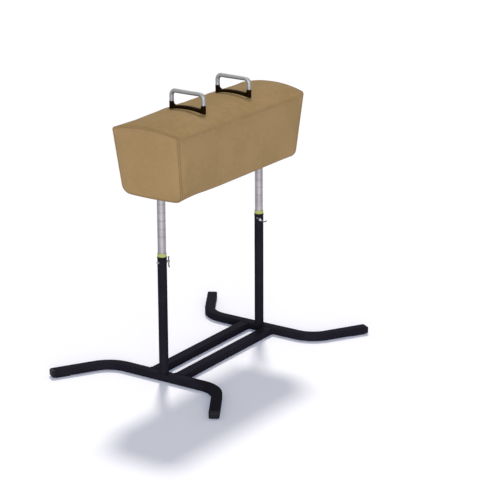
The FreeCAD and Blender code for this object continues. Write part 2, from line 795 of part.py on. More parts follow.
def guide_screw(side):
    """Screw whose dog point rides in the inner tube's keyway."""
    dog = radial_rod(guide_dog_diameter / 2.0, inner_tube_radius - keyway_depth + free_clearance,
                     guide_boss_reach)
    head = radial_rod(guide_head_diameter / 2.0, guide_boss_reach, guide_boss_reach + guide_head_length)
    rim = [edge for edge in head.Edges if edge.BoundBox.XMin > guide_boss_reach + guide_head_length / 2.0]
    head = head.makeChamfer(guide_head_chamfer, rim)
    return single(at_guide(dog.fuse(head), side))


def post_pieces():
    """Everything on both posts, from the foot tubes to the body."""
    pieces = {"flange_bolts": [], "flange_nuts": []}
    for name, side in SIDES.items():
        x = side * post_spacing / 2.0
        pieces["post_tube_" + name] = post_tube(side)
        pieces["post_collar_" + name] = ring(
            post_tube_diameter / 2.0 + collar_wall, post_tube_diameter / 2.0 + seat_clearance, x,
            post_tube_top - collar_height, post_tube_top)
        pieces["guide_bush_" + name] = guide_bush(side)
        pieces["screw_bosses_" + name] = [
            at_clamp(saddled_boss(clamp_boss_diameter, clamp_boss_reach, clamp_bore()), side),
            at_guide(saddled_boss(guide_boss_diameter, guide_boss_reach, guide_bore()), side),
        ]
        pieces["guide_screw_" + name] = guide_screw(side)
        pieces["thrust_pad_" + name] = thrust_pad(side)
        pieces["clamp_screw_" + name] = clamp_screw(side)
        pieces["cross_bar_" + name] = cross_bar(side)
        pieces["inner_tube_" + name] = inner_tube(side)
        pieces["glide_plug_" + name] = glide_plug(side)
        pieces["mounting_flange_" + name] = mounting_flange(side)
        pieces["anchor_plate_" + name] = anchor_plate(side)
    radius = flange_bolt_diameter / 2.0
    nut_low = floor_level() + anchor_plate_thickness
    nut_high = nut_low + flange_bolt_diameter * nut_ratio
    for x, y in flange_bolt_places():
        head = hexagon(flange_bolt_diameter, x, y,
                       inner_tube_top - flange_bolt_diameter * bolt_head_ratio, inner_tube_top)
        shank = upright(radius, x, y, inner_tube_top, nut_high + bolt_end_length)
        pieces["flange_bolts"].append(single(head.fuse(shank)))
        nut = hexagon(flange_bolt_diameter, x, y, nut_low, nut_high)
        pieces["flange_nuts"].append(nut.cut(
            upright(radius + seat_clearance, x, y, nut_low - overshoot, nut_high + overshoot)))
    return pieces


# ---------------------------------------------------------------------------
# Base frame
# ---------------------------------------------------------------------------
def foot_ends():
    """Each foot tube end: its face's middle (x, y) and its direction in degrees."""
    bend = math.radians(foot_bend_angle)
    ends = []
    for side in SIDES.values():
        for across in (-1, 1):
            x = side * (post_spacing / 2.0 + math.sin(bend) * foot_end_length)
            y = across * (foot_corner_y + math.cos(bend) * foot_end_length)
            direction = math.degrees(math.atan2(across * math.cos(bend), side * math.sin(bend)))
            ends.append((x, y, direction))
    return ends


def foot_tube(side):
    """Rectangular tube: straight under the post, with both ends bent outwards."""
    bend = math.radians(foot_bend_angle)
    run = foot_end_length - end_cap_head
    z = foot_pad_thickness + foot_tube_height / 2.0
    corner_x = side * post_spacing / 2.0
    end_x = corner_x + side * math.sin(bend) * run
    end_y = foot_corner_y + math.cos(bend) * run
    route = [Vector(end_x, -end_y, z), Vector(corner_x, -foot_corner_y, z),
             Vector(corner_x, foot_corner_y, z), Vector(end_x, end_y, z)]
    outside = bent_bar(route, foot_bend_radius, foot_tube_width, foot_tube_height, foot_tube_edge_radius)
    inside = bent_bar(route, foot_bend_radius, foot_tube_width - 2.0 * foot_tube_wall,
                      foot_tube_height - 2.0 * foot_tube_wall, foot_tube_edge_radius - foot_tube_wall)
    return single(outside.cut(inside))


def end_cap():
    """Plug for a foot tube's end, its face at the origin and its head rounded, facing +X."""
    head = rounded_bar(end_cap_head, foot_tube_width, foot_tube_height, foot_tube_edge_radius)
    uprights = edges_along(head, Z_AXIS, lambda middle: middle.x > end_cap_head / 2.0)
    head = head.makeFillet(end_cap_corner_radius, uprights)
    head.translate(X_AXIS * -end_cap_head)
    spigot = rounded_bar(end_cap_spigot, foot_tube_width - 2.0 * (foot_tube_wall + seat_clearance),
                         foot_tube_height - 2.0 * (foot_tube_wall + seat_clearance),
                         foot_tube_edge_radius - foot_tube_wall)
    spigot.translate(X_AXIS * -(end_cap_head + end_cap_spigot))
    return single(head.fuse(spigot))


def spreader(across):
    """Straight beam between the foot tubes."""
    reach = post_spacing / 2.0 - foot_tube_width / 2.0
    outside = rounded_bar(2.0 * reach, spreader_width, foot_tube_height, foot_tube_edge_radius)
    inside = rounded_bar(2.0 * reach, spreader_width - 2.0 * foot_tube_wall,
                         foot_tube_height - 2.0 * foot_tube_wall, foot_tube_edge_radius - foot_tube_wall)
    return placed(outside.cut(inside), 0.0, -reach, across * (spreader_gap + spreader_width) / 2.0,
                  foot_pad_thickness + foot_tube_height / 2.0)


def base_pieces():
    """Foot tubes, spreaders, end caps and floor pads."""
    pieces = {
        "foot_tube_near": foot_tube(-1.0),
        "foot_tube_far": foot_tube(1.0),
        "spreader_left": spreader(1.0),
        "spreader_right": spreader(-1.0),
        "foot_end_caps": [],
        "foot_pads": [],
    }
    pad = box((-foot_pad_setback - foot_pad_length, -foot_pad_width / 2.0, 0),
              (-foot_pad_setback, foot_pad_width / 2.0, foot_pad_thickness))
    for x, y, direction in foot_ends():
        pieces["foot_end_caps"].append(
            placed(end_cap(), direction, x, y, foot_pad_thickness + foot_tube_height / 2.0))
        pieces["foot_pads"].append(placed(pad, direction, x, y, 0.0))
    return pieces


# ---------------------------------------------------------------------------
# Export: one STEP file per node
# ---------------------------------------------------------------------------
def main():
    """Build every piece and write it under its node's name."""
    os.makedirs("parts", exist_ok=True)
    pieces = {}
    for build in (base_pieces, post_pieces, body_pieces, pommel_pieces):
        pieces.update(build())
    for node, piece in pieces.items():
        shape = Part.makeCompound(piece) if isinstance(piece, list) else piece
        shape.exportStep("parts/" + node + ".step")


main()
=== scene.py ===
"""Looks of a pommel horse on two telescopic posts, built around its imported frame.

Metres, +Z up. X runs along the horse, with its near end at -X and its far end at +X, and Y
runs across it. Each class is one sub-assembly or one finish. Sizes are their fields, and places
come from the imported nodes.
"""
import json
import logging
import math
from collections.abc import Callable, Iterator
from contextlib import contextmanager
from dataclasses import dataclass, field
from enum import Enum
from functools import cache

import bmesh
import bpy
import numpy as np
from mathutils import Matrix, Vector, noise
from mathutils.bvhtree import BVHTree


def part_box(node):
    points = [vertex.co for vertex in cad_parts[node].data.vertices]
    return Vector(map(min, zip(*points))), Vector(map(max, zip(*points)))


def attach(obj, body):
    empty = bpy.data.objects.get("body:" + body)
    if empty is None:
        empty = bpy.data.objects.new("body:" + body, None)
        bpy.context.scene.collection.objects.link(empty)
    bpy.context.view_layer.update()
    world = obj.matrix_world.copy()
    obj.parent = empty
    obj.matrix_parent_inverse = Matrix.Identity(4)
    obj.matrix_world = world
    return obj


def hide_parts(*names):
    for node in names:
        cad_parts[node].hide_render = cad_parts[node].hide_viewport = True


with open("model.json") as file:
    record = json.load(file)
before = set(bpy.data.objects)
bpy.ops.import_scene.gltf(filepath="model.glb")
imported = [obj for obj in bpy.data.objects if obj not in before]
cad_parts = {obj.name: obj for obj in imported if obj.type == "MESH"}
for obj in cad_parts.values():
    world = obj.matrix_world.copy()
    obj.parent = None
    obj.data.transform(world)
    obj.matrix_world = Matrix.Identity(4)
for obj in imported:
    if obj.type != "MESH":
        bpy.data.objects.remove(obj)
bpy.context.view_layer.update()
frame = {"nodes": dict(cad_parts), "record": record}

MM = 0.001
QUARTER = math.pi / 2.0
TINY = 1e-12
POSTS = {"near": -1.0, "far": 1.0}
NODE_SLOTS = {part["node"]: part["material_slot"] for part in frame["record"]["subparts"]}

Piece = bpy.types.Object
Tree = bpy.types.NodeTree
Node = bpy.types.Node
Socket = bpy.types.NodeSocket
Sockets = bpy.types.bpy_prop_collection
Colour = tuple[int, int, int]
Triple = tuple[float, float, float]
Looks = tuple[Socket, Socket, Socket | None]
Rows = np.ndarray

log = logging.getLogger("pommel_horse")


class Part(Enum):
    """Kinds of mesh element, and the name of their select mode."""

    VERTS = "VERT"
    EDGES = "EDGE"
    FACES = "FACE"


class Body(Enum):
    """Bodies that new pieces ride on."""

    STAND = "stand"
    HORSE = "horse"
    BAR_NEAR = "bar_near"
    BAR_FAR = "bar_far"


# --- Modelling helpers ---
def only(piece: Piece) -> None:
    """Select one object, and make it the active one.

    Args:
        piece: The object.
    """
    bpy.ops.object.select_all(action="DESELECT")
    piece.select_set(True)
    bpy.context.view_layer.objects.active = piece


@contextmanager
def editing(piece: Piece) -> Iterator[None]:
    """Edit mode on one object.

    Args:
        piece: The object to edit.

    Yields:
        Nothing, while the object is in edit mode.
    """
    only(piece)
    bpy.ops.object.mode_set(mode="EDIT")
    yield
    bpy.ops.object.mode_set(mode="OBJECT")


def pick(piece: Piece, part: Part, test: Callable[..., bool]) -> None:
    """Select the elements of one kind that pass a test, and nothing else, in edit mode.

    Args:
        piece: The object in edit mode.
        part: The kind of element.
        test: Says whether an element is wanted.
    """
    bpy.ops.mesh.select_mode(type=part.value)
    bpy.ops.mesh.select_all(action="DESELECT")
    cage = bmesh.from_edit_mesh(piece.data)
    for element in filter(test, getattr(cage, part.name.lower())):
        element.select_set(True)
    cage.select_flush_mode()
    bmesh.update_edit_mesh(piece.data)


def direction(edge: bmesh.types.BMEdge) -> Vector:
    """Direction of an edge."""
    return (edge.verts[1].co - edge.verts[0].co).normalized()


def face_outwards(doubles: float = 0.0) -> None:
    """Turn every face outwards, in edit mode.

    Args:
        doubles: Points nearer to each other than this are merged first.
    """
    bpy.ops.mesh.select_all(action="SELECT")
    if doubles:
        bpy.ops.mesh.remove_doubles(threshold=doubles)
    bpy.ops.mesh.normals_make_consistent(inside=False)


def fresh(matrix: Matrix | None = None) -> Piece:
    """Take the primitive just added, and put its place into its mesh.

    Args:
        matrix: Where the primitive goes as well, if it isn't in place yet.

    Returns:
        The new object, at the origin.
    """
    piece = bpy.context.object
    only(piece)
    if matrix is not None:
        piece.matrix_world = matrix @ piece.matrix_world
    bpy.ops.object.transform_apply(location=True, rotation=True, scale=True)
    return piece


def modify(piece: Piece, kind: str, **settings: object) -> None:
    """Add a modifier to a piece and apply it.

    Args:
        piece: The object.
        kind: The modifier's type.
        **settings: The modifier's values.
    """
    only(piece)
    modifier = piece.modifiers.new(kind.title(), kind)
    for name, value in settings.items():
        setattr(modifier, name, value)
    bpy.ops.object.modifier_apply(modifier=modifier.name)


def soften(piece: Piece, width: float, segments: int, angle: float) -> None:
    """Round a piece's edges that are sharper than an angle in degrees."""
    modify(piece, "BEVEL", width=width, segments=segments, limit_method="ANGLE",
           angle_limit=math.radians(angle))


def joined(pieces: list[Piece]) -> Piece:
    """Join several objects into the first one.

    Args:
        pieces: The objects.

    Returns:
        The first one.
    """
    only(pieces[0])
    for piece in pieces[1:]:
        piece.select_set(True)
    bpy.ops.object.join()
    return pieces[0]


def copied(piece: Piece, matrix: Matrix) -> Piece:
    """Copy a piece with its own mesh, at another place.

    Args:
        piece: The object to copy.
        matrix: Where the copy goes, from the first one's place.

    Returns:
        The copy, at the origin.
    """
    twin = piece.copy()
    twin.data = piece.data.copy()
    bpy.context.scene.collection.objects.link(twin)
    twin.data.transform(matrix)
    return twin


def finish_piece(piece: Piece, name: str, body: Body, slot: str, *replaces: str,
                 look: str = "", smooth: float = 40.0) -> None:
    """Name, smooth and dress a piece, and tie it to the frame.

    Args:
        piece: The object.
        name: Its name.
        body: The body that it rides on.
        slot: The record's material slot.
        *replaces: The nodes that it stands for.
        look: Its finish, where that isn't the slot's own.
        smooth: Edges under this many degrees are shaded smooth.
    """
    only(piece)
    bpy.ops.object.shade_smooth_by_angle(angle=math.radians(smooth))
    piece.name = name
    piece.data.name = name
    piece.data.materials.clear()
    piece.data.materials.append(finish(look or slot))
    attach(piece, body.value)
    if replaces:
        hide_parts(*replaces)
    log.info("%s: %d faces", name, len(piece.data.polygons))


def turned(profile: list[tuple[float, float]], matrix: Matrix, sides: int = 64,
           hollow: bool = False) -> Piece:
    """Turned piece about the local Z axis, drawn ring by ring.

    Args:
        profile: The (radius, height) of each ring, in order.
        matrix: Where the piece goes.
        sides: Faces round it.
        hollow: Whether the last ring joins the first, as in a tube.

    Returns:
        The new object.
    """
    radius, height = profile[0]
    bpy.ops.mesh.primitive_circle_add(vertices=sides, radius=radius, location=(0, 0, height),
                                      fill_type="NOTHING" if hollow else "NGON")
    piece = fresh()
    with editing(piece):
        bpy.ops.mesh.select_mode(type="EDGE")
        bpy.ops.mesh.select_all(action="SELECT")
        if not hollow:
            bpy.ops.mesh.region_to_loop()
        for new_radius, new_height in profile[1:]:
            bpy.ops.mesh.extrude_edges_move(
                TRANSFORM_OT_translate={"value": (0, 0, new_height - height)})
            scale = new_radius / radius
            bpy.ops.transform.resize(value=(scale, scale, 1.0), center_override=(0, 0, new_height))
            radius, height = new_radius, new_height
        if hollow:
            pick(piece, Part.EDGES, lambda edge: edge.is_boundary)
            bpy.ops.mesh.bridge_edge_loops()
        else:
            bpy.ops.mesh.edge_face_add()
        face_outwards()
    piece.data.transform(matrix)
    return piece


@dataclass(frozen=True)
class Straight:
    """A straight run of a bent rod."""

    length: float


@dataclass(frozen=True)
class Bend:
    """A bend of a bent rod, towards a direction square to its run."""

    radius: float
    degrees: float
    towards: Triple
    steps: int = 12


@dataclass(frozen=True)
class BentRod:
    """Round rod drawn along straight runs and bends, with domed ends."""

    start: Vector
    heading: Vector
    radius: float
    moves: list[Straight | Bend]
    sides: int = 24
    domes: tuple[float, ...] = (0.35, 0.4)

    def build(self, matrix: Matrix) -> Piece:
        """Draw the rod.

        Args:
            matrix: Where the rod goes.

        Returns:
            The new object.
        """
        place, heading = self.start.copy(), self.heading.normalized()
        bpy.ops.mesh.primitive_circle_add(
            vertices=self.sides, radius=self.radius, location=place,
            rotation=heading.to_track_quat("Z", "Y").to_euler(), fill_type="NOTHING")
        piece = fresh()
        with editing(piece):
            bpy.ops.mesh.select_mode(type="EDGE")
            bpy.ops.mesh.select_all(action="SELECT")
            for move in self.moves:
                if isinstance(move, Straight):
                    step = heading * move.length
                    bpy.ops.mesh.extrude_edges_move(TRANSFORM_OT_translate={"value": step})
                    place += step
                    continue
                towards = Vector(move.towards).normalized()
                axis, centre = heading.cross(towards), place + towards * move.radius
                angle = math.radians(move.degrees)
                bpy.ops.mesh.spin(steps=move.steps, angle=-angle, center=centre, axis=axis)
                swing = Matrix.Rotation(angle, 4, axis)
                place = centre + swing @ (place - centre)
                heading = (swing @ heading).normalized()
            self.close(piece)
            face_outwards(doubles=MM / 1000.0)
        piece.data.transform(matrix)
        return piece

    def close(self, piece: Piece) -> None:
        """Close the rod's two open ends with shallow domes, in edit mode.

        Args:
            piece: The rod.
        """
        pick(piece, Part.EDGES, lambda edge: edge.is_boundary)
        bpy.ops.mesh.edge_face_add()
        pick(piece, Part.FACES, lambda face: len(face.verts) > 4)
        for share in self.domes:
            inset = self.radius * share
            bpy.ops.mesh.inset(thickness=inset, depth=inset / 2.0, use_individual=True)


# --- Node helpers ---
def linear(colour: Colour) -> tuple[float, ...]:
    """Turn screen values, 0 to 255, into a socket's linear ones by the standard screen curve."""
    shares = [c / 255.0 for c in colour]
    return (*[c / 12.92 if c <= 0.04045 else ((c + 0.055) / 1.055) ** 2.4 for c in shares], 1.0)


@dataclass
class Board:
    """A node tree, with short ways to place and join nodes."""

    tree: Tree

    def place(self, kind: str, inputs: dict[str | int, object] | None = None,
              **settings: object) -> Node:
        """Place a node.

        Args:
            kind: The node's type.
            inputs: Its inputs, each a value or the socket that feeds it.
            **settings: Its other values.

        Returns:
            The new node.
        """
        node = self.tree.nodes.new(kind)
        for name, value in settings.items():
            setattr(node, name, value)
        for name, value in (inputs or {}).items():
            if isinstance(value, Socket):
                self.tree.links.new(value, node.inputs[name])
            else:
                node.inputs[name].default_value = value
        return node

    def maths(self, kind: str, *values: object) -> Socket:
        """Result of a sum of one kind."""
        return self.place("ShaderNodeMath", dict(enumerate(values)), operation=kind).outputs[0]

    def times(self, first: object, second: object) -> Socket:
        """Product of two values."""
        return self.maths("MULTIPLY", first, second)

    def span(self, value: object, low: float, high: float, to_low: float = 0.0,
             to_high: float = 1.0) -> Socket:
        """Carry a value smoothly from the range low to high over to another range."""
        ranges = dict(enumerate((value, low, high, to_low, to_high)))
        return self.place("ShaderNodeMapRange", ranges, interpolation_type="SMOOTHSTEP").outputs[0]

    def mix(self, share: object, first: object, second: object) -> Socket:
        """Mix two colours, with a share of the second one."""
        # The node's colour sockets are its inputs 6 and 7 and its output 2.
        node = self.place("ShaderNodeMix", {0: share, 6: first, 7: second}, data_type="RGBA")
        return node.outputs[2]

    def upright(self, kind: str, output: str) -> Socket:
        """Z part of a node's output."""
        whole = self.place(kind).outputs[output]
        return self.place("ShaderNodeSeparateXYZ", {0: whole}).outputs[2]

    def mark(self, name: str) -> Socket:
        """Value that the mesh itself keeps at each point."""
        return self.place("ShaderNodeAttribute", attribute_name=name).outputs["Fac"]

    def group(self, tree: Tree, stretch: Triple = (1.0, 1.0, 1.0), **inputs: object) -> Sockets:
        """Place a node group on the piece's own coordinates, stretched along each axis.

        Args:
            tree: The group.
            stretch: How many times its pattern repeats along each axis.
            **inputs: Its inputs.

        Returns:
            Its outputs.
        """
        where = self.place("ShaderNodeTexCoord").outputs["Object"]
        vector = self.place("ShaderNodeMapping", {"Vector": where, "Scale": stretch}).outputs[0]
        return self.place("ShaderNodeGroup", {"Vector": vector, **inputs}, node_tree=tree).outputs


def empty_board(owner: bpy.types.ID) -> Board:
    """Turn on the nodes of a material or a world, with none in place.

    Args:
        owner: The material or world.

    Returns:
        Its board.
    """
    owner.use_nodes = True
    owner.node_tree.nodes.clear()
    return Board(owner.node_tree)


class Group(Board):
    """A node group that reads a Vector and other named inputs."""

    def __init__(self, name: str, inputs: dict[str, float | tuple[float, ...]],
                 **outputs: str) -> None:
        """Start the group.

        Args:
            name: Its name.
            inputs: Its other inputs and their first values. Four numbers make a colour.
            **outputs: Its outputs and their types.
        """
        super().__init__(bpy.data.node_groups.new(name, "ShaderNodeTree"))
        sockets = self.tree.interface
        sockets.new_socket("Vector", in_out="INPUT", socket_type="NodeSocketVector")
        for label, value in inputs.items():
            kind = "NodeSocketColor" if isinstance(value, tuple) else "NodeSocketFloat"
            sockets.new_socket(label, in_out="INPUT", socket_type=kind).default_value = value
        for label, kind in outputs.items():
            sockets.new_socket(label, in_out="OUTPUT", socket_type="NodeSocket" + kind)
        self.given = self.place("NodeGroupInput").outputs

    def cloud(self, scale: object, detail: float, roughness: float = 0.5) -> Sockets:
        """Place a noise texture. Its first output is a value, and its second a colour."""
        inputs = {"Scale": scale, "Detail": detail, "Roughness": roughness}
        return self.place("ShaderNodeTexNoise", inputs | {"Vector": self.given["Vector"]}).outputs

    def done(self, **results: Socket) -> Tree:
        """Feed the group's outputs, and give its tree."""
        self.place("NodeGroupOutput", results)
        return self.tree


@cache
def mottle_group() -> Tree:
    """Uneven colour: large soft patches and small flecks between two tones.

    Returns:
        The group.
    """
    group = Group("Mottle", {"Scale": 8.0, "Light": (1.0, 1.0, 1.0, 1.0),
                             "Dark": (0.5, 0.5, 0.5, 1.0)}, Color="Color", Mask="Float")
    patches = group.cloud(group.given["Scale"], detail=3.0, roughness=0.55)
    flecks = group.cloud(group.times(group.given["Scale"], 11.0), detail=2.0)
    # The patches count for 0.7 of the mask, and the flecks for 0.3.
    both = group.maths("ADD", group.times(patches[0], 0.7), group.times(flecks[0], 0.3))
    mask = group.span(both, low=0.38, high=0.62)
    return group.done(Mask=mask, Color=group.mix(mask, group.given["Dark"], group.given["Light"]))


@cache
def pebble_group() -> Tree:
    """Leather grain: irregular rounded cells with creases between them.

    Returns:
        The group.
    """
    group = Group("Pebble grain", {"Cells": 600.0}, Height="Float", Crease="Float")
    cells = group.given["Cells"]
    # A coarser noise bends the cells out of line, and lifts some of them more.
    drift = group.cloud(group.times(cells, 0.35), detail=2.0)
    bend = (1.6 * MM, 1.6 * MM, 1.6 * MM)
    bent = group.place("ShaderNodeVectorMath", {0: drift[1], 1: bend}, operation="MULTIPLY")
    vector = group.place("ShaderNodeVectorMath", {0: group.given["Vector"], 1: bent.outputs[0]},
                         operation="ADD")
    edges = group.place("ShaderNodeTexVoronoi", {"Vector": vector.outputs[0], "Scale": cells},
                        feature="DISTANCE_TO_EDGE")
    crease = group.span(edges.outputs[0], low=0.0, high=0.16, to_low=1.0, to_high=0.0)
    height = group.maths("SUBTRACT", group.times(drift[0], 0.5), crease)
    return group.done(Crease=crease, Height=height)


@cache
def peel_group() -> Tree:
    """Fine uneven surface of sprayed, baked or moulded finishes.

    Returns:
        The group.
    """
    group = Group("Orange peel", {"Scale": 900.0}, Height="Float", Patches="Float")
    fine = group.cloud(group.given["Scale"], detail=1.0)
    broad = group.cloud(group.times(group.given["Scale"], 0.02), detail=4.0)
    return group.done(Height=fine[0], Patches=group.span(broad[0], low=0.35, high=0.65))


@cache
def edge_wear_group() -> Tree:
    """Mask of worn outer edges, broken up by noise.

    Returns:
        The group.
    """
    group = Group("Edge wear", {"Radius": 0.003, "Amount": 0.5}, Mask="Float")
    rounded = group.place("ShaderNodeBevel", {"Radius": group.given["Radius"]}, samples=4)
    plain = group.place("ShaderNodeNewGeometry").outputs["Normal"]
    match = group.place("ShaderNodeVectorMath", {0: rounded.outputs[0], 1: plain},
                        operation="DOT_PRODUCT").outputs["Value"]
    edge = group.span(match, low=0.8, high=0.995, to_low=1.0, to_high=0.0)
    chips = group.cloud(scale=140.0, detail=5.0, roughness=0.7)
    worn = group.times(edge, group.span(chips[0], low=0.45, high=0.62))
    return group.done(Mask=group.times(worn, group.given["Amount"]))


@cache
def dust_and_top_shade_group() -> Tree:
    """Mask of dust and handling on surfaces that face up; the leather also paints shade on its top
    with it.

    Returns:
        The group.
    """
    group = Group("Dust", {"Amount": 0.3}, Mask="Float")
    upward = group.span(group.upright("ShaderNodeNewGeometry", "Normal"), low=0.35, high=0.95)
    cloud = group.cloud(scale=26.0, detail=6.0, roughness=0.65)
    dust = group.times(upward, group.span(cloud[0], low=0.35, high=0.75))
    return group.done(Mask=group.times(dust, group.given["Amount"]))


@cache
def brushed_group() -> Tree:
    """Fine parallel lines of drawn or brushed metal or of wood, square to a stretched vector.

    Returns:
        The group.
    """
    group = Group("Brushed lines", {"Scale": 60.0}, Height="Float", Shade="Float")
    lines = group.cloud(group.given["Scale"], detail=4.0, roughness=0.7)
    return group.done(Height=lines[0], Shade=group.span(lines[0], low=0.3, high=0.7))


# --- Finishes ---
@dataclass(frozen=True)
class Finish:
    """A surface finish. Each kind adds its own nodes.

    Relief is the real depth of its detail, and swing is how its roughness drifts with a mask.
    """

    name: str
    colour: Colour
    roughness: float
    specular: float = 0.5
    metallic: float = 0.0
    relief: float = 0.05 * MM
    swing: tuple[float, float] = (0.0, 0.0)

    def make(self) -> bpy.types.Material:
        """Make the finish's material.

        Returns:
            The material.
        """
        material = bpy.data.materials.new(self.name)
        board = empty_board(material)
        height, colour, mask = self.dress(board)
        roughness = self.roughness if mask is None else board.span(
            mask, 0.0, 1.0, *(self.roughness + change for change in self.swing))
        bump = board.place("ShaderNodeBump", {"Height": height, "Distance": self.relief})
        shader = board.place("ShaderNodeBsdfPrincipled", {
            "Base Color": colour, "Roughness": roughness, "Metallic": self.metallic,
            "Specular IOR Level": self.specular, "Normal": bump.outputs[0]})
        board.place("ShaderNodeOutputMaterial", {"Surface": shader.outputs[0]})
        return material

    def dress(self, board: Board) -> Looks:
        """Place the finish's nodes on the material's board."""
        raise NotImplementedError


@dataclass(frozen=True)
class Leather(Finish):
    """Tan leather with pebble grain, darker in its seams; dust, handling and painted shade darken
    its top, and painted shade its downward faces.
    """

    specular: float = 0.03
    relief: float = 0.22 * MM
    swing: tuple[float, float] = (0.07, -0.05)
    shadow: Colour = (154, 129, 92)
    # Dark colour of seams, creases and welts, and of the painted shade on faces turned down.
    seam: Colour = (98, 80, 52)
    # Darker colour on the top: dust and handling, and painted shade.
    handled_and_shaded: Colour = (144, 120, 64)
    patches: float = 5.0
    cells: float = 620.0
    in_creases: float = 0.12
    in_seams: float = 0.45
    on_welts: float = 0.18
    # Share of that dust, handling and painted shade on the top.
    on_top: float = 0.45
    # Painted shade, with some dirt, on faces turned down: its share, and the span of the normal's Z
    # over which it fades in.
    painted_shade_below: float = 0.5
    painted_shade_facing: tuple[float, float] = (-0.85, -0.45)

    def dress(self, board: Board) -> Looks:
        """Place the leather's nodes.

        Args:
            board: The material's board.

        Returns:
            The relief's height, the colour, and the roughness's mask.
        """
        dark = linear(self.seam)
        mottle = board.group(mottle_group(), Scale=self.patches, Light=linear(self.colour),
                             Dark=linear(self.shadow))
        pebble = board.group(pebble_group(), Cells=self.cells)
        # Dust, handling and painted shade on the top.
        dust_and_top_shade = board.group(dust_and_top_shade_group(), Amount=self.on_top)
        # Painted shade, with some dirt, on faces turned down.
        under = board.span(board.upright("ShaderNodeNewGeometry", "Normal"), *self.painted_shade_facing,
                           self.painted_shade_below, 0.0)
        colour = board.mix(board.times(pebble["Crease"], self.in_creases), mottle["Color"], dark)
        colour = board.mix(board.times(board.mark("welt"), self.on_welts), colour, dark)
        # The top is darkened by dust and handling, and by painted shade.
        colour = board.mix(dust_and_top_shade["Mask"], colour, linear(self.handled_and_shaded))
        # Faces turned down take the dark colour as painted shade.
        colour = board.mix(under, colour, dark)
        colour = board.mix(board.times(board.mark("seam"), self.in_seams), colour, dark)
        return pebble["Height"], colour, mottle["Mask"]


@dataclass(frozen=True)
class Coating(Finish):
    """Baked or moulded surface: orange peel in patches of two tones, worn on its edges."""

    worn: Colour = (120, 120, 120)
    wear: float = 0.25
    wear_radius: float = 1.5 * MM
    peel: float = 420.0
    patches: float = 1.0
    low_tone: float = 1.0
    high_tone: int = 0

    def dress(self, board: Board) -> Looks:
        """Place the coating's nodes.

        Args:
            board: The material's board.

        Returns:
            The relief's height, the colour, and the roughness's mask.
        """
        peel = board.group(peel_group(), Scale=self.peel)
        low = tuple(int(c * self.low_tone) for c in self.colour)
        high = tuple(c + self.high_tone for c in self.colour)
        base = board.mix(board.times(peel["Patches"], self.patches), linear(low), linear(high))
        wear = board.group(edge_wear_group(), Radius=self.wear_radius, Amount=self.wear)
        colour = board.mix(wear["Mask"], base, linear(self.worn))
        return peel["Height"], colour, peel["Patches"]


@dataclass(frozen=True)
class PowderCoat(Coating):
    """Baked coating with a fine orange peel, rubbed on its edges."""

    swing: tuple[float, float] = (-0.04, 0.06)
    worn: Colour = (78, 78, 88)
    wear_radius: float = 2.5 * MM
    peel: float = 700.0
    patches: float = 0.5
    high_tone: int = 7


@dataclass(frozen=True)
class Moulded(Coating):
    """Moulded plastic or rubber, slightly uneven, with scuffed edges."""

    specular: float = 0.4
    relief: float = 0.04 * MM
    swing: tuple[float, float] = (0.05, -0.03)
    low_tone: float = 0.9


@dataclass(frozen=True)
class DrawnMetal(Finish):
    """Bare or plated metal with fine lines, duller where it is handled, and grime in its rings."""

    metallic: float = 1.0
    relief: float = 0.03 * MM
    swing: tuple[float, float] = (-0.05, 0.07)
    tarnish: Colour = (120, 116, 118)
    stretch: Triple = (1.0, 1.0, 12.0)
    lines: float = 70.0
    patches: float = 14.0
    bright: float = 0.75
    line_shade: float = 0.12
    grime: Colour = (84, 80, 84)
    grime_depth: float = 0.65
    ring_top: float = 0.0
    ring_pitch: float = 0.0
    ring_width: float = 0.0
    ring_low: float = 0.0

    def dress(self, board: Board) -> Looks:
        """Place the metal's nodes.

        Args:
            board: The material's board.

        Returns:
            The relief's height, the colour, and the roughness's mask.
        """
        dull = linear(self.tarnish)
        lines = board.group(brushed_group(), self.stretch, Scale=self.lines)
        mottle = board.group(mottle_group(), Scale=self.patches)
        colour = board.mix(board.times(mottle["Mask"], self.bright), dull, linear(self.colour))
        colour = board.mix(board.times(lines["Shade"], self.line_shade), colour, dull)
        if self.ring_pitch:
            colour = board.mix(board.times(self.rings(board), self.grime_depth), colour,
                               linear(self.grime))
        return lines["Height"], colour, lines["Shade"]

    def rings(self, board: Board) -> Socket:
        """Mask of the grime in the turned rings, with a soft edge to each.

        Args:
            board: The material's board.

        Returns:
            The mask.
        """
        height = board.upright("ShaderNodeTexCoord", "Object")
        turns = board.maths("DIVIDE", board.maths("SUBTRACT", self.ring_top, height),
                            self.ring_pitch)
        half = self.ring_width / 2.0 / self.ring_pitch
        mask = board.span(board.maths("PINGPONG", turns, 0.5), half * 0.7, half * 1.5, 1.0, 0.0)
        return board.times(mask, board.maths("GREATER_THAN", height, self.ring_low))


@dataclass(frozen=True)
class Plywood(Finish):
    """Birch plywood: long grain on its faces and plies on its edges."""

    relief: float = 0.2 * MM
    late: Colour = (168, 128, 84)
    ply: float = 2.2 * MM
    ply_shade: float = 0.35
    grain: float = 26.0
    stretch: Triple = (0.3, 6.0, 6.0)

    def dress(self, board: Board) -> Looks:
        """Place the wood's nodes.

        Args:
            board: The material's board.

        Returns:
            The relief's height, the colour, and the roughness's mask.
        """
        grain = board.group(brushed_group(), self.stretch, Scale=self.grain)
        turns = board.maths("DIVIDE", board.upright("ShaderNodeTexCoord", "Object"), self.ply)
        plies = board.span(board.maths("PINGPONG", turns, 1.0), low=0.35, high=0.65)
        wood = board.mix(grain["Shade"], linear(self.late), linear(self.colour))
        colour = board.mix(board.times(plies, self.ply_shade), wood, linear(self.late))
        return grain["Height"], colour, None


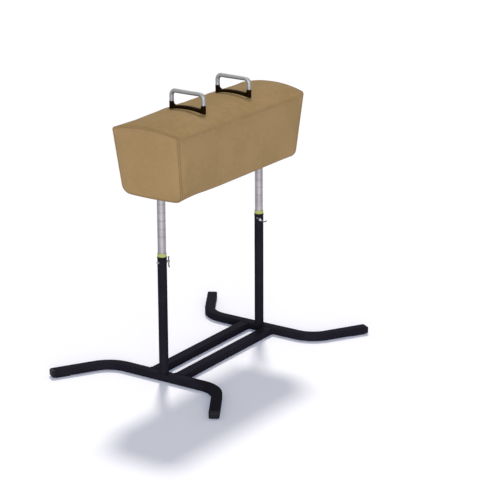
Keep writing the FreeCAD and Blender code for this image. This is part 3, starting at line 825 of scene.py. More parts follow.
@dataclass(frozen=True)
class Foam(Finish):
    """Open-cell foam."""

    relief: float = 0.4 * MM
    pores: Colour = (176, 160, 112)
    cells: float = 420.0

    def dress(self, board: Board) -> Looks:
        """Place the foam's nodes.

        Args:
            board: The material's board.

        Returns:
            The relief's height, the colour, and the roughness's mask.
        """
        pebble = board.group(pebble_group(), Cells=self.cells)
        colour = board.mix(pebble["Crease"], linear(self.colour), linear(self.pores))
        return pebble["Height"], colour, None


FINISHES = {look.name: look for look in (
    PowderCoat("frame_black", (29, 27, 35), 0.55, specular=0.005),
    PowderCoat("collar_black", (9, 9, 12), 0.35, specular=0.08),
    DrawnMetal("tube_steel", (168, 164, 168), 0.6, tarnish=(151, 147, 151), ring_top=0.8425,
               ring_pitch=37.5 * MM, ring_width=1.6 * MM, ring_low=0.68),
    DrawnMetal("screw_steel", (218, 218, 232), 0.5, stretch=(4.0, 4.0, 4.0)),
    DrawnMetal("lever_steel", (116, 116, 124), 0.5, tarnish=(84, 82, 86), stretch=(4.0, 4.0, 4.0)),
    DrawnMetal("zinc_steel", (165, 166, 168), 0.42, stretch=(3.0, 3.0, 3.0)),
    DrawnMetal("pad_brass", (196, 164, 96), 0.38, tarnish=(140, 108, 56)),
    DrawnMetal("pommel_silver", (163, 164, 165), 0.56, tarnish=(146, 147, 148),
               stretch=(3.0, 0.6, 3.0)),
    Moulded("bush_yellow", (167, 173, 98), 0.42, specular=0.25, worn=(188, 192, 140)),
    Moulded("nylon_white", (222, 221, 214), 0.45, worn=(200, 198, 190)),
    Moulded("cap_black", (21, 20, 27), 0.5, specular=0.12, worn=(36, 35, 41)),
    Moulded("pad_rubber", (26, 26, 27), 0.8, specular=0.2, worn=(60, 60, 60)),
    # The saddles' maroon worn edges are wear and also a painted dark-red glint.
    Moulded("pommel_black", (25, 13, 1), 0.5, specular=0.012, worn=(58, 26, 20), wear=0.35),
    Moulded("thread", (154, 128, 92), 0.8, specular=0.2, peel=1500.0, wear=0.0),
    Leather("cover_tan", (161, 134, 97), 0.68),
    Foam("foam", (226, 214, 176), 0.95),
    Plywood("plywood", (206, 172, 124), 0.62),
)}


@cache
def finish(name: str) -> bpy.types.Material:
    """The material of a finish, made once."""
    return FINISHES[name].make()


# --- Studio ---
@dataclass(frozen=True)
class Lamp:
    """A lamp that lights evenly from one side. Its spread in degrees softens its shadows."""

    name: str
    strength: float
    source: Triple
    spread: float
    colour: Triple

    def build(self) -> None:
        """Hang the lamp."""
        data = bpy.data.lights.new(self.name, "SUN")
        data.energy = self.strength
        data.angle = math.radians(self.spread)
        data.color = self.colour
        lamp = bpy.data.objects.new(self.name, data)
        lamp.rotation_euler = Vector(self.source).to_track_quat("Z", "Y").to_euler()
        bpy.context.scene.collection.objects.link(lamp)


@dataclass
class Studio:
    """Camera, floor and light. Angles are in degrees."""

    azimuth: float = -56.18
    elevation: float = 18.198
    roll: float = -0.2
    distance: float = 9.6412
    target: Triple = (0.3155, 0.0, 0.432)
    lens: float = 145.133
    floor_size: float = 80.0
    floor_paint: Triple = (0.945, 0.915, 0.90)
    floor_lift: Triple = (0.10, 0.125, 0.205)
    floor_plain: Triple = (0.8, 0.8, 0.8)
    dome: float = 0.36
    dome_colour: Triple = (0.97, 0.985, 1.0)
    lamps: tuple[Lamp, ...] = (
        Lamp("key", 1.98, (0.571, 0.381, 1.0), 7.0, (1.0, 0.99, 0.97)),
        Lamp("fill", 4.25, (-0.98, -0.75, 0.02), 40.0, (1.0, 0.995, 0.99)))

    def build(self) -> None:
        """Set up everything round the object."""
        bpy.context.scene.view_settings.view_transform = "Standard"
        self.build_camera()
        self.build_floor()
        self.build_world()
        for lamp in self.lamps:
            lamp.build()

    def build_camera(self) -> None:
        """Set the camera at its angle and distance from the target."""
        turn, tilt, lean = map(math.radians, (self.azimuth, self.elevation, self.roll))
        back = Vector((math.sin(turn) * math.cos(tilt), -math.cos(turn) * math.cos(tilt),
                       math.sin(tilt)))
        right = Vector((0, 0, 1)).cross(back).normalized()
        up = back.cross(right)
        axes = Matrix((right * math.cos(lean) + up * math.sin(lean),
                       up * math.cos(lean) - right * math.sin(lean), back)).transposed()
        data = bpy.data.cameras.new("camera")
        data.lens = self.lens
        camera = bpy.data.objects.new("camera", data)
        camera.matrix_world = (Matrix.Translation(Vector(self.target) + back * self.distance)
                               @ axes.to_4x4())
        bpy.context.scene.collection.objects.link(camera)
        bpy.context.scene.camera = camera

    def build_floor(self) -> None:
        """Lay a pale floor that shows white where it is fully lit, and keeps the shadow."""
        bpy.ops.mesh.primitive_plane_add(size=self.floor_size)
        floor = fresh()
        floor.name = "floor"
        material = bpy.data.materials.new("floor")
        board = empty_board(material)
        paint = board.place("ShaderNodeBsdfDiffuse", {"Color": (*self.floor_paint, 1.0)})
        lift = board.place("ShaderNodeEmission", {"Color": (*self.floor_lift, 1.0)})
        seen = board.place("ShaderNodeAddShader", {0: paint.outputs[0], 1: lift.outputs[0]})
        plain = board.place("ShaderNodeBsdfDiffuse", {"Color": (*self.floor_plain, 1.0)})
        self.show(board, "ShaderNodeOutputMaterial", plain, seen)
        floor.data.materials.append(material)

    def build_world(self) -> None:
        """Set an even dome of light that shows white behind the object."""
        world = bpy.data.worlds.new("studio")
        bpy.context.scene.world = world
        board = empty_board(world)
        dome = board.place("ShaderNodeBackground", {
            "Color": (*self.dome_colour, 1.0), "Strength": self.dome})
        white = board.place("ShaderNodeBackground", {"Color": (1.0, 1.0, 1.0, 1.0)})
        self.show(board, "ShaderNodeOutputWorld", dome, white)

    def show(self, board: Board, output: str, unseen: Node, seen: Node) -> None:
        """Join two looks to an output: one that is seen directly, in metal and through glass.

        Args:
            board: The board to do this on.
            output: The output's type.
            unseen: What lights the object.
            seen: What the camera sees.
        """
        path = board.place("ShaderNodeLightPath").outputs
        clear = board.maths("MAXIMUM", path["Is Camera Ray"], path["Is Transmission Ray"])
        direct = board.maths("MAXIMUM", clear, path["Is Glossy Ray"])
        chosen = board.place("ShaderNodeMixShader", {
            0: direct, 1: unseen.outputs[0], 2: seen.outputs[0]})
        board.place(output, {"Surface": chosen.outputs[0]})


# --- Padded body ---
def both_ways(half: list[float]) -> Rows:
    """Grid lines from -1 to 1, from those of the positive half, which starts at 0."""
    lines = np.array(half) / half[-1]
    return np.concatenate([-lines[:0:-1], lines])


def bell(distance: Rows, width: float) -> Rows:
    """Bump that is 1 at no distance and fades out past a width."""
    return np.exp(-(distance / width) ** 2)


def read_rows(mesh: bpy.types.Mesh, name: str) -> Rows:
    """Read what a mesh keeps of each of its points.

    Args:
        mesh: The mesh.
        name: What is read: co or normal.

    Returns:
        Three numbers a row.
    """
    rows = np.empty(len(mesh.vertices) * 3)
    mesh.vertices.foreach_get(name, rows)
    return rows.reshape(-1, 3)


def move_points(mesh: bpy.types.Mesh, places: Rows) -> None:
    """Move a mesh's points to their places, one a row."""
    mesh.vertices.foreach_set("co", places.ravel())
    mesh.update()


def swirl(places: Rows, size: float, shift: Triple = (0.0, 0.0, 0.0)) -> Rows:
    """Smooth noise at each place, -1 to 1, in lumps of a size."""
    return np.array([noise.noise(Vector(p) / size + Vector(shift)) for p in places])


@dataclass(frozen=True)
class Depths:
    """How far points lie inside the faces of the body's sharp-edged form.

    The shell is the nearest of side, top and bottom.
    """

    side: Rows
    top: Rows
    bottom: Rows
    end: Rows

    @property
    def shell(self) -> Rows:
        """Distance inside the nearest face but the end."""
        return np.minimum(np.minimum(self.side, self.top), self.bottom)


@dataclass
class Cloth:
    """Settings of the padding's simulation, under the names that the modifier has for them."""

    quality: int = 6
    mass: float = 0.35
    tension_stiffness: float = 40.0
    compression_stiffness: float = 40.0
    shear_stiffness: float = 20.0
    bending_stiffness: float = 3.0
    use_pressure: bool = True
    uniform_pressure_force: float = 4.0
    shrink_min: float = -0.004
    vertex_group_mass: str = "held"


@dataclass
class PaddedBody:
    """Stuffed leather cover: bound ends, long shoulder seams and a tacked underside.

    Its ends are bound with welts. The seams beside them and at the hems are deep, and those
    along the shoulders are soft.
    """

    width_top: float = 0.350
    width_bottom: float = 0.316
    length_top: float = 1.000
    length_bottom: float = 0.906
    depth: float = 0.306
    stuffing: float = 4.0 * MM
    crown_middle: float = 0.0393
    crown_near: float = 0.0225
    crown_far: float = 0.0265
    crown_fall: float = 2.4
    worn_shoulder: float = 5.0 * MM
    worn_middle: float = 0.30
    worn_length: float = 0.24
    end_sag: float = 5.0 * MM
    end_sag_length: float = 0.05
    far_swell: float = 4.5 * MM
    bottom_radius: float = 0.035
    slack_radius: float = 0.014
    slack_middle: float = -0.33
    slack_length: float = 0.11
    shoulder_radius: float = 0.028
    shoulder_end_radius: float = 0.012
    end_radius: float = 5.0 * MM
    end_fade: float = 0.03
    welt_inset: float = 5.5 * MM
    welt_rise: float = 1.3 * MM
    shoulder_inset: float = 0.014
    hem_inset: float = 0.042
    seam_depth: float = 0.8 * MM
    seam_width: float = 1.4 * MM
    soft_seam: float = 0.2
    soft_width: float = 2.4 * MM
    grime_width: float = 2.2 * MM
    soft_grime: float = 0.06
    soft_grime_width: float = 6.0 * MM
    gather: float = 0.9 * MM
    gather_size: float = 0.034
    gather_reach: float = 0.020
    drape: float = 0.9 * MM
    drape_size: float = 0.16
    drape_shift: Triple = (7.0, 3.0, 1.0)
    held_seam: float = 0.012
    held_pommel: float = 0.02
    pommel_spacing: float = 0.363
    pommel_length: float = 0.022
    pommel_width: float = 0.196
    pommel_above: float = 0.9
    pommel_sink: float = 0.4 * MM
    pommel_bulge: float = 0.7 * MM
    bulge_away: float = 9.0 * MM
    bulge_width: float = 6.0 * MM
    stitch_pitch: float = 5.6 * MM
    stitch_length: float = 4.4 * MM
    stitch_radius: float = 0.5 * MM
    stitch_aside: float = 3.4 * MM
    stitch_rows: float = 3.0 * MM
    stitch_proud: float = 0.35
    stitch_taper: tuple[float, float] = (0.5, 0.4)
    tack_head: float = 4.5 * MM
    tack_count: int = 17
    tack_reach: float = 0.42
    tack_inset: float = 4.0 * MM
    cloth: Cloth = field(default_factory=Cloth)
    cloth_frames: int = 20
    swell_cap: float = 5.0 * MM
    quick_swell: float = 2.0 * MM
    near_edge: tuple[float, ...] = (0, 1.8, 3.6, 5.5, 7.4, 10, 12, 14, 16, 19, 24, 32, 42, 54)
    past_edge: float = 66.0
    near_pommel: tuple[float, ...] = (152, 160, 166, 170, 175, 181.5, 188, 193, 197, 203, 212)
    underside: float = field(default_factory=lambda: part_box("cover_bottom")[0].z)
    cover: Piece = field(init=False)
    grid: Rows = field(init=False)

    def grid_lines(self) -> tuple[Rows, Rows, Rows]:
        """Where the cover's grid lines run, close together along seams and pommels.

        Returns:
            The lines along X and Y, from -1 to 1, and along Z, from 0 to 1.
        """
        length, width, depth = (v / MM for v in (self.length_top / 2, self.width_top / 2,
                                                 self.depth))
        edge, past = self.near_edge[::-1], self.past_edge
        along = [*range(0, 141, 14), *self.near_pommel, *range(224, 400, 14),
                 *[length - e for e in (95, 80, past, *edge)]]
        across = [*np.linspace(0, width - past, 9), *[width - e for e in edge]]
        up = [*self.near_edge, *np.linspace(past, depth - past, 14), *[depth - e for e in edge]]
        return both_ways(along), both_ways(across), np.array(up) / depth

    def half_width(self, z: Rows) -> Rows:
        """Half the body's width at a height above its underside."""
        slope = (self.width_top - self.width_bottom) / 2.0 / self.depth
        return self.width_bottom / 2.0 + np.minimum(z, self.depth) * slope + self.stuffing

    def half_length(self, z: Rows) -> Rows:
        """Half the body's length at a height above its underside."""
        slope = (self.length_top - self.length_bottom) / 2.0 / self.depth
        return self.length_bottom / 2.0 + z * slope + self.stuffing

    def crown(self, along: Rows, y: Rows) -> Rows:
        """Height of the crowned top above its edges.

        Args:
            along: Place along the body, -1 to 1.
            y: Place across it.

        Returns:
            The height at each point.
        """
        end = np.where(along < 0.0, self.crown_near, self.crown_far)
        rise = self.crown_middle - (self.crown_middle - end) * np.abs(along) ** self.crown_fall
        half = self.width_top / 2.0 + self.stuffing
        radius = (half ** 2 + rise ** 2) / (2.0 * rise)
        return np.sqrt(radius ** 2 - np.minimum(np.abs(y), half) ** 2) - (radius - rise)

    def depths(self, grid: Rows) -> Depths:
        """How far each grid point lies inside the faces.

        Args:
            grid: Points on the unit block, one a row.

        Returns:
            The distances.
        """
        along, across, up = grid.T
        z = up * self.depth
        return Depths(side=(1.0 - np.abs(across)) * self.half_width(z),
                      top=(1.0 - up) * self.depth, bottom=z,
                      end=(1.0 - np.abs(along)) * self.half_length(z))

    def form(self, grid: Rows) -> Rows:
        """Carry points on the unit block to the body's form, with its edges rounded.

        Each power is how steeply a shape grows from the middle or the underside to the edge.

        Args:
            grid: Points on the unit block, one a row.

        Returns:
            The points in place, one a row.
        """
        along, across, up = grid.T
        sharp = self.depths(grid)
        shell, end = self.round_corner(sharp.shell, sharp.end, self.end_radius)
        side, top, bottom = (
            d + (shell - sharp.shell) * np.clip(1.0 - (d - sharp.shell) / self.end_fade, 0.0, 1.0)
            for d in (sharp.side, sharp.top, sharp.bottom))
        shoulder = self.shoulder_radius - (self.shoulder_radius
                                           - self.shoulder_end_radius) * along ** 8
        side, top = self.round_corner(side, top, shoulder)
        place = along * self.length_bottom / 2.0
        slack = self.slack_radius * bell(place - self.slack_middle, self.slack_length)
        side, bottom = self.round_corner(side, bottom, self.bottom_radius + slack)
        rough_z = np.where(up < 0.5, bottom, self.depth - top)
        y = np.sign(across) * (self.half_width(rough_z) - side)
        z = rough_z + (self.crown(along, y) + self.stuffing) * up ** 3
        x = np.sign(along) * (self.half_length(z) - end)
        x += self.far_swell * np.maximum(along, 0.0) ** 6
        out = np.abs(y) / self.half_width(z)
        worn = bell(x - self.worn_middle, self.worn_length)
        z -= self.worn_shoulder * up ** 3 * out ** 4 * worn
        from_end = np.maximum(self.length_bottom / 2.0 - np.abs(x), 0.0)
        z -= (self.end_sag * (1.0 - out ** 2) * (1.0 - up) ** 4
              * bell(from_end, self.end_sag_length))
        return np.stack([x, y, z + self.underside], axis=1)

    def round_corner(self, first: Rows, second: Rows, radius: Rows | float) -> tuple[Rows, Rows]:
        """Round the corner between two faces.

        Args:
            first: Distance inside one face.
            second: Distance inside the other face.
            radius: The corner's radius at each point.

        Returns:
            The two distances once the corner is round.
        """
        near = (first < radius) & (second < radius)
        one, two = np.maximum(radius - first, 0), np.maximum(radius - second, 0)
        scale = np.maximum(one, two) / (np.hypot(one, two) + TINY)
        return (np.where(near, radius - one * scale, first),
                np.where(near, radius - two * scale, second))

    def seam_distances(self) -> tuple[Rows, Rows]:
        """Distance of each of the cover's points from the nearest deep seam and soft seam.

        Returns:
            The two distances, which are 1 m where the point's own face has no such seam.
        """
        depth, touch = self.depths(self.grid), MM / 1000.0
        on_end = depth.end < touch
        past_welt = depth.end > self.welt_inset
        ring = np.where(depth.shell < touch, np.abs(depth.end - self.welt_inset), 1.0)
        cap = np.where(on_end, np.abs(depth.shell - self.welt_inset), 1.0)
        hem = np.where((depth.bottom < touch) & past_welt, np.abs(depth.side - self.hem_inset), 1.0)
        shoulder = np.where((depth.side < touch) & past_welt,
                            np.abs(depth.top - self.shoulder_inset), 1.0)
        return np.minimum(np.minimum(ring, cap), hem), shoulder

    def welt(self) -> Rows:
        """Mask of the raised welt round each end, 1 on its crest."""
        depth = self.depths(self.grid)
        return np.clip(1.0 - np.maximum(depth.shell, depth.end) / self.welt_inset, 0.0, 1.0)

    def build(self) -> None:
        """Build the cover, its stitches and its tacks."""
        cover = self.block()
        rest = self.form(self.grid)
        move_points(cover.data, rest)
        self.detail(rest + self.swelling(rest))
        modify(cover, "SUBSURF", levels=1, render_levels=1)
        finish_piece(cover, "body_cover", Body.HORSE, "cover_tan", "cover_top",
                     "cover_side_left", "cover_side_right", "cover_end_near", "cover_end_far",
                     "cover_bottom", "top_foam", "side_foam_left", "side_foam_right",
                     "end_foam_near", "end_foam_far", smooth=80.0)
        self.build_stitches()
        self.build_tacks()

    def block(self) -> Piece:
        """Make the cover as a block divided along the grid lines.

        Returns:
            The cover.
        """
        bpy.ops.mesh.primitive_cube_add(size=2.0)
        self.cover = cover = fresh()
        lines = self.grid_lines()
        with editing(cover):
            for axis, places in enumerate(lines):
                pick(cover, Part.EDGES, lambda edge, k=axis: abs(direction(edge)[k]) > 0.99)
                bpy.ops.mesh.subdivide(number_cuts=len(places) - 2)
            face_outwards()
        self.grid = read_rows(cover.data, "co")
        for axis, places in enumerate(lines):
            step = np.rint((self.grid[:, axis] + 1.0) / 2.0 * (len(places) - 1)).astype(int)
            self.grid[:, axis] = places[step]
        return cover

    def hold(self, places: Rows) -> Rows:
        """How firmly each point of the cover is held while the padding swells.

        Args:
            places: The points in place, one a row.

        Returns:
            The hold on each, 0 to 1.
        """
        # A seam's hold is full up to a quarter of held_seam away, and gone one held_seam further.
        held = np.clip(1.25 - np.minimum(*self.seam_distances()) / self.held_seam, 0.0, 1.0)
        held = np.maximum(held, self.welt() > 0.0)
        held[self.grid[:, 2] == 0.0] = 1.0
        pommel = self.pommel_distance(places)
        return np.maximum(held, np.clip(1.0 - pommel / self.held_pommel, 0.0, 1.0))

    def pommel_distance(self, places: Rows) -> Rows:
        """Distance of each point from a pommel's foot, seen from above, and far for low points.

        Args:
            places: The points, one a row.

        Returns:
            The distances, with 1 m more for points well below the top.
        """
        over = np.maximum(np.abs(np.abs(places[:, 0]) - self.pommel_spacing / 2.0)
                          - self.pommel_length / 2.0, 0.0)
        beside = np.maximum(np.abs(places[:, 1]) - self.pommel_width / 2.0, 0.0)
        low = places[:, 2] < self.underside + self.depth * self.pommel_above
        return np.hypot(over, beside) + low

    def swelling(self, rest: Rows) -> Rows:
        """How far the padding pushes each point of the cover out, by a cloth simulation.

        Args:
            rest: The cover's points at rest, one a row.

        Returns:
            Each point's move.
        """
        cover, held = self.cover, self.hold(rest)
        group = cover.vertex_groups.new(name=self.cloth.vertex_group_mass)
        for index, weight in enumerate(held):
            if weight > 0.0:
                group.add([index], float(weight), "REPLACE")
        only(cover)
        modifier = cover.modifiers.new("Cloth", "CLOTH")
        for name, value in vars(self.cloth).items():
            setattr(modifier.settings, name, value)
        modifier.settings.effector_weights.gravity = 0.0
        modifier.collision_settings.use_collision = False
        for step in range(1, self.cloth_frames + 1):
            bpy.context.scene.frame_set(step)
        bpy.ops.object.modifier_apply(modifier=modifier.name)
        bpy.context.scene.frame_set(1)
        cover.vertex_groups.clear()
        move = read_rows(cover.data, "co") - rest
        size = np.linalg.norm(move, axis=1, keepdims=True) + TINY
        log.info("cover swells by up to %.1f mm", size.max() / MM)
        return move / size * self.swell_cap * np.tanh(size / self.swell_cap)

    def detail(self, places: Rows) -> None:
        """Sink the seams, gather the leather beside them and press it under the pommels.

        Args:
            places: The cover's swollen points, one a row.
        """
        mesh = self.cover.data
        move_points(mesh, places)
        normals = read_rows(mesh, "normal")
        deep, soft = self.seam_distances()
        welt = self.welt()
        pommel = self.pommel_distance(places)
        push = -self.seam_depth * (bell(deep, self.seam_width)
                                   + self.soft_seam * bell(soft, self.soft_width))
        push += self.welt_rise * np.sin(welt * QUARTER)
        push += (self.gather * swirl(places, self.gather_size) * (welt == 0.0)
                 * np.exp(-np.minimum(deep, soft) / self.gather_reach))
        push += (self.drape * swirl(places, self.drape_size, self.drape_shift)
                 * (1.0 - self.hold(places)))
        push += (self.pommel_bulge * bell(pommel - self.bulge_away, self.bulge_width)
                 * (pommel < 1.0))
        push -= self.pommel_sink * (pommel < MM)
        push[self.grid[:, 2] == 0.0] = 0.0
        move_points(mesh, places + normals * push[:, None])
        grime = bell(deep, self.grime_width) + self.soft_grime * bell(soft, self.soft_grime_width)
        for name, values in (("seam", grime), ("welt", welt)):
            attribute = mesh.attributes.new(name, "FLOAT", "POINT")
            attribute.data.foreach_set("value", values.astype(np.float32))

    def seam_paths(self, points: int = 1601) -> list[Rows]:
        """Lines on the unit block that the stitches follow.

        Args:
            points: How many points a line has.

        Returns:
            The points of each line: two rings at each end and two rows on each side.
        """
        turns = np.linspace(0.0, 4.0, points)[:-1]
        corners = range(5)
        across = np.interp(turns, corners, [-1, 1, 1, -1, -1])
        up = np.interp(turns, corners, [1, 1, 0, 0, 1])
        beside = self.welt_inset + self.stitch_aside
        share = 1.0 - beside / (self.length_top / 2.0)
        shrunk = 1.0 - beside / (self.width_top / 2.0)
        lift = beside / self.depth
        run = np.linspace(-share, share, points)
        lines = []
        for side in (-1.0, 1.0):
            lines += [(side * share, across, up),
                      (side, across * shrunk, lift + up * (1.0 - 2.0 * lift))]
            lines += [(run, side, 1.0 - (self.shoulder_inset + drop) / self.depth)
                      for drop in (self.stitch_rows, -self.stitch_rows)]
        return [np.stack(np.broadcast_arrays(*line), axis=1) for line in lines]

    def one_stitch(self) -> tuple[Rows, list[list[int]]]:
        """Model one stitch that lies along X.

        Returns:
            Its points, and the points of each of its faces.
        """
        bpy.ops.mesh.primitive_cylinder_add(vertices=6, radius=self.stitch_radius,
                                            depth=self.stitch_length, rotation=(0, QUARTER, 0))
        stitch = fresh()
        with editing(stitch):
            pick(stitch, Part.FACES, lambda face: abs(face.normal.x) > 0.9)
            inset, depth = (self.stitch_radius * share for share in self.stitch_taper)
            bpy.ops.mesh.inset(thickness=inset, depth=depth, use_individual=True)
        points = read_rows(stitch.data, "co")
        faces = [list(face.vertices) for face in stitch.data.polygons]
        bpy.data.objects.remove(stitch)
        return points, faces

    def build_stitches(self) -> None:
        """Sew a row of stitches along each seam, except on the underside."""
        stitch, stitch_faces = self.one_stitch()
        surface = BVHTree.FromObject(self.cover, bpy.context.evaluated_depsgraph_get())
        points, faces = [], []
        for path in self.seam_paths():
            line = self.form(path)
            steps = np.linalg.norm(np.diff(line, axis=0), axis=1)
            run = np.concatenate([[0.0], np.cumsum(steps)])
            for place in np.arange(self.stitch_pitch / 2.0, run[-1], self.stitch_pitch):
                here, ahead = (Vector([np.interp(at, run, line[:, k]) for k in range(3)])
                               for at in (place, place + MM))
                on, normal, _, _ = surface.find_nearest(here)
                way = (ahead - here) - normal * (ahead - here).dot(normal)
                if on.z < self.underside + MM or way.length < MM / 10000.0:
                    continue
                way.normalize()
                axes = np.array([way, normal.cross(way), normal])
                faces += [[len(points) * len(stitch) + k for k in face] for face in stitch_faces]
                points.append(stitch @ axes + np.array(
                    on + normal * self.stitch_radius * self.stitch_proud))
        mesh = bpy.data.meshes.new("cover_stitching")
        mesh.from_pydata(np.concatenate(points).tolist(), [], faces)
        stitching = bpy.data.objects.new("cover_stitching", mesh)
        bpy.context.scene.collection.objects.link(stitching)
        finish_piece(stitching, "cover_stitching", Body.HORSE, "cover_tan", look="thread")

    def build_tacks(self) -> None:
        """Drive a row of domed tacks along each hem of the underside."""
        head = self.tack_head
        dome = [(1.0, 0.2), (1.0, -0.5), (0.85, -1.3), (0.5, -1.9), (0.12, -2.1)]
        first = turned([(head * share, drop * MM) for share, drop in dome], Matrix.Identity(4),
                       sides=12)
        hem = self.width_bottom / 2.0 - self.hem_inset - self.tack_inset
        places = [(x, side * hem, self.underside) for side in (-1.0, 1.0)
                  for x in np.linspace(-self.tack_reach, self.tack_reach, self.tack_count)]
        tacks = [copied(first, Matrix.Translation(place)) for place in places]
        bpy.data.objects.remove(first)
        finish_piece(joined(tacks), "cover_tacks", Body.HORSE, "zinc_steel")


# --- Pommels ---
@dataclass
class Pommel:
    """A pommel: a bent silver bar on a black saddle with two round stubs."""

    name: str
    leg_spacing: float = 0.174
    bar_radius: float = 0.01025
    bar_sides: int = 40
    corner_radius: float = 0.023
    stub_radius: float = 0.011
    stub_chamfer: float = 0.8 * MM
    lip_break: float = 0.3
    saddle_width: float = 0.020
    saddle_thickness: float = 0.0165
    saddle_steps: int = 36
    saddle_flare: float = 0.014
    flare_steps: int = 9
    flare_root: float = 6.0 * MM
    flare_inset: float = 0.6 * MM
    flare_sink: float = 0.3 * MM
    flare_gap: float = 0.1 * MM
    crown_radius: float = 0.42196
    sunk: float = 0.5 * MM
    edge: float = 1.6 * MM
    x: float = field(init=False)
    foot: float = field(init=False)
    top: float = field(init=False)
    centre: float = field(init=False)

    def build(self) -> None:
        """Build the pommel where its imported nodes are."""
        low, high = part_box("pommel_grip_" + self.name)
        self.x, self.foot, self.top = (low.x + high.x) / 2.0, low.z, high.z
        self.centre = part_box("cover_top")[1].z - self.crown_radius
        self.build_saddle()
        self.build_bar()

    def build_bar(self) -> None:
        """Bend the grip bar, whose legs stand on the stubs."""
        leg = Straight(self.top - self.bar_radius - self.corner_radius - self.foot)
        grip = Straight(self.leg_spacing - 2.0 * self.corner_radius)
        moves = [leg, Bend(self.corner_radius, 90.0, (0, 1, 0)), grip,
                 Bend(self.corner_radius, 90.0, (0, 0, -1)), leg]
        start = Vector((self.x, -self.leg_spacing / 2.0, self.foot))
        bar = BentRod(start, Vector((0, 0, 1)), self.bar_radius, moves, self.bar_sides)
        finish_piece(bar.build(Matrix.Identity(4)), "pommel_bar_" + self.name, Body.HORSE,
                     "pommel_silver", "pommel_grip_" + self.name)

    def build_saddle(self) -> None:
        """Shape the curved saddle with its two stubs."""
        saddle = self.strip()
        for side in (-1.0, 1.0):
            for part in (self.run_up(side), self.stub(side)):
                modify(saddle, "BOOLEAN", operation="UNION", object=part, solver="EXACT")
                bpy.data.objects.remove(part)
        finish_piece(saddle, "pommel_saddle_" + self.name, Body.HORSE, "pommel_black",
                     "pommel_base_" + self.name, smooth=35.0)

    def strip(self) -> Piece:
        """Strip that follows the crown, from one stub's axis to the other's.

        Returns:
            The new object.
        """
        thickness = self.saddle_thickness + self.sunk
        middle = self.crown_radius - self.sunk + thickness / 2.0
        reach = math.asin(self.leg_spacing / 2.0 / middle)
        centre = (self.x, 0, self.centre)
        bpy.ops.mesh.primitive_plane_add(size=1.0)
        strip = fresh(Matrix.Translation(centre) @ Matrix.Rotation(reach, 4, "X")
                      @ Matrix.Translation((0, 0, middle)) @ Matrix.Rotation(QUARTER, 4, "X")
                      @ Matrix.Diagonal((self.saddle_width, thickness, 1.0, 1.0)))
        with editing(strip):
            bpy.ops.mesh.select_all(action="SELECT")
            bpy.ops.mesh.spin(steps=self.saddle_steps, angle=2.0 * reach, center=centre,
                              axis=(1, 0, 0))
            face_outwards(doubles=MM / 100.0)
        soften(strip, self.edge, segments=3, angle=50.0)
        return strip

    def run_up(self, side: float) -> Piece:
        """The strip's hollow run up to a stub, turned about the stub's axis.

        Args:
            side: -1 for the right stub and 1 for the left one.

        Returns:
            The new object.
        """
        flare, radius = self.saddle_flare, self.stub_radius - self.flare_gap
        tip_y = self.leg_spacing / 2.0 - radius - flare
        tip_z = self.centre + math.sqrt(
            (self.crown_radius + self.saddle_thickness) ** 2 - tip_y ** 2)
        profile = [(radius + flare, -self.flare_root)]
        profile += [(radius + flare * (1.0 - math.sin(turn)), flare * (1.0 - math.cos(turn)))
                    for turn in np.linspace(0.0, QUARTER, self.flare_steps)]
        axis_y = side * self.leg_spacing / 2.0
        piece = turned(profile, Matrix.Translation((self.x, axis_y, tip_z - self.flare_sink)))
        half = self.saddle_width / 2.0 - self.flare_inset
        cuts = (((self.x + half, 0, 0), (1, 0, 0)), ((self.x - half, 0, 0), (-1, 0, 0)),
                ((0, axis_y, 0), (0, side, 0)))
        with editing(piece):
            for point, normal in cuts:
                bpy.ops.mesh.select_all(action="SELECT")
                bpy.ops.mesh.bisect(plane_co=point, plane_no=normal, use_fill=True,
                                    clear_outer=True)
            face_outwards()
        return piece

    def stub(self, side: float) -> Piece:
        """Round stub that a leg of the bar stands on.

        Args:
            side: -1 for the right stub and 1 for the left one.

        Returns:
            The new object.
        """
        outer_y = self.leg_spacing / 2.0 + self.stub_radius
        low = self.centre + math.sqrt(self.crown_radius ** 2 - outer_y ** 2)
        rim, top, lip = self.stub_radius, self.foot, self.stub_chamfer
        shoulder = self.lip_break * lip
        profile = [(rim, low), (rim, top - lip), (rim - shoulder, top - shoulder),
                   (rim - lip, top)]
        return turned(profile, Matrix.Translation((self.x, side * self.leg_spacing / 2.0, 0)))


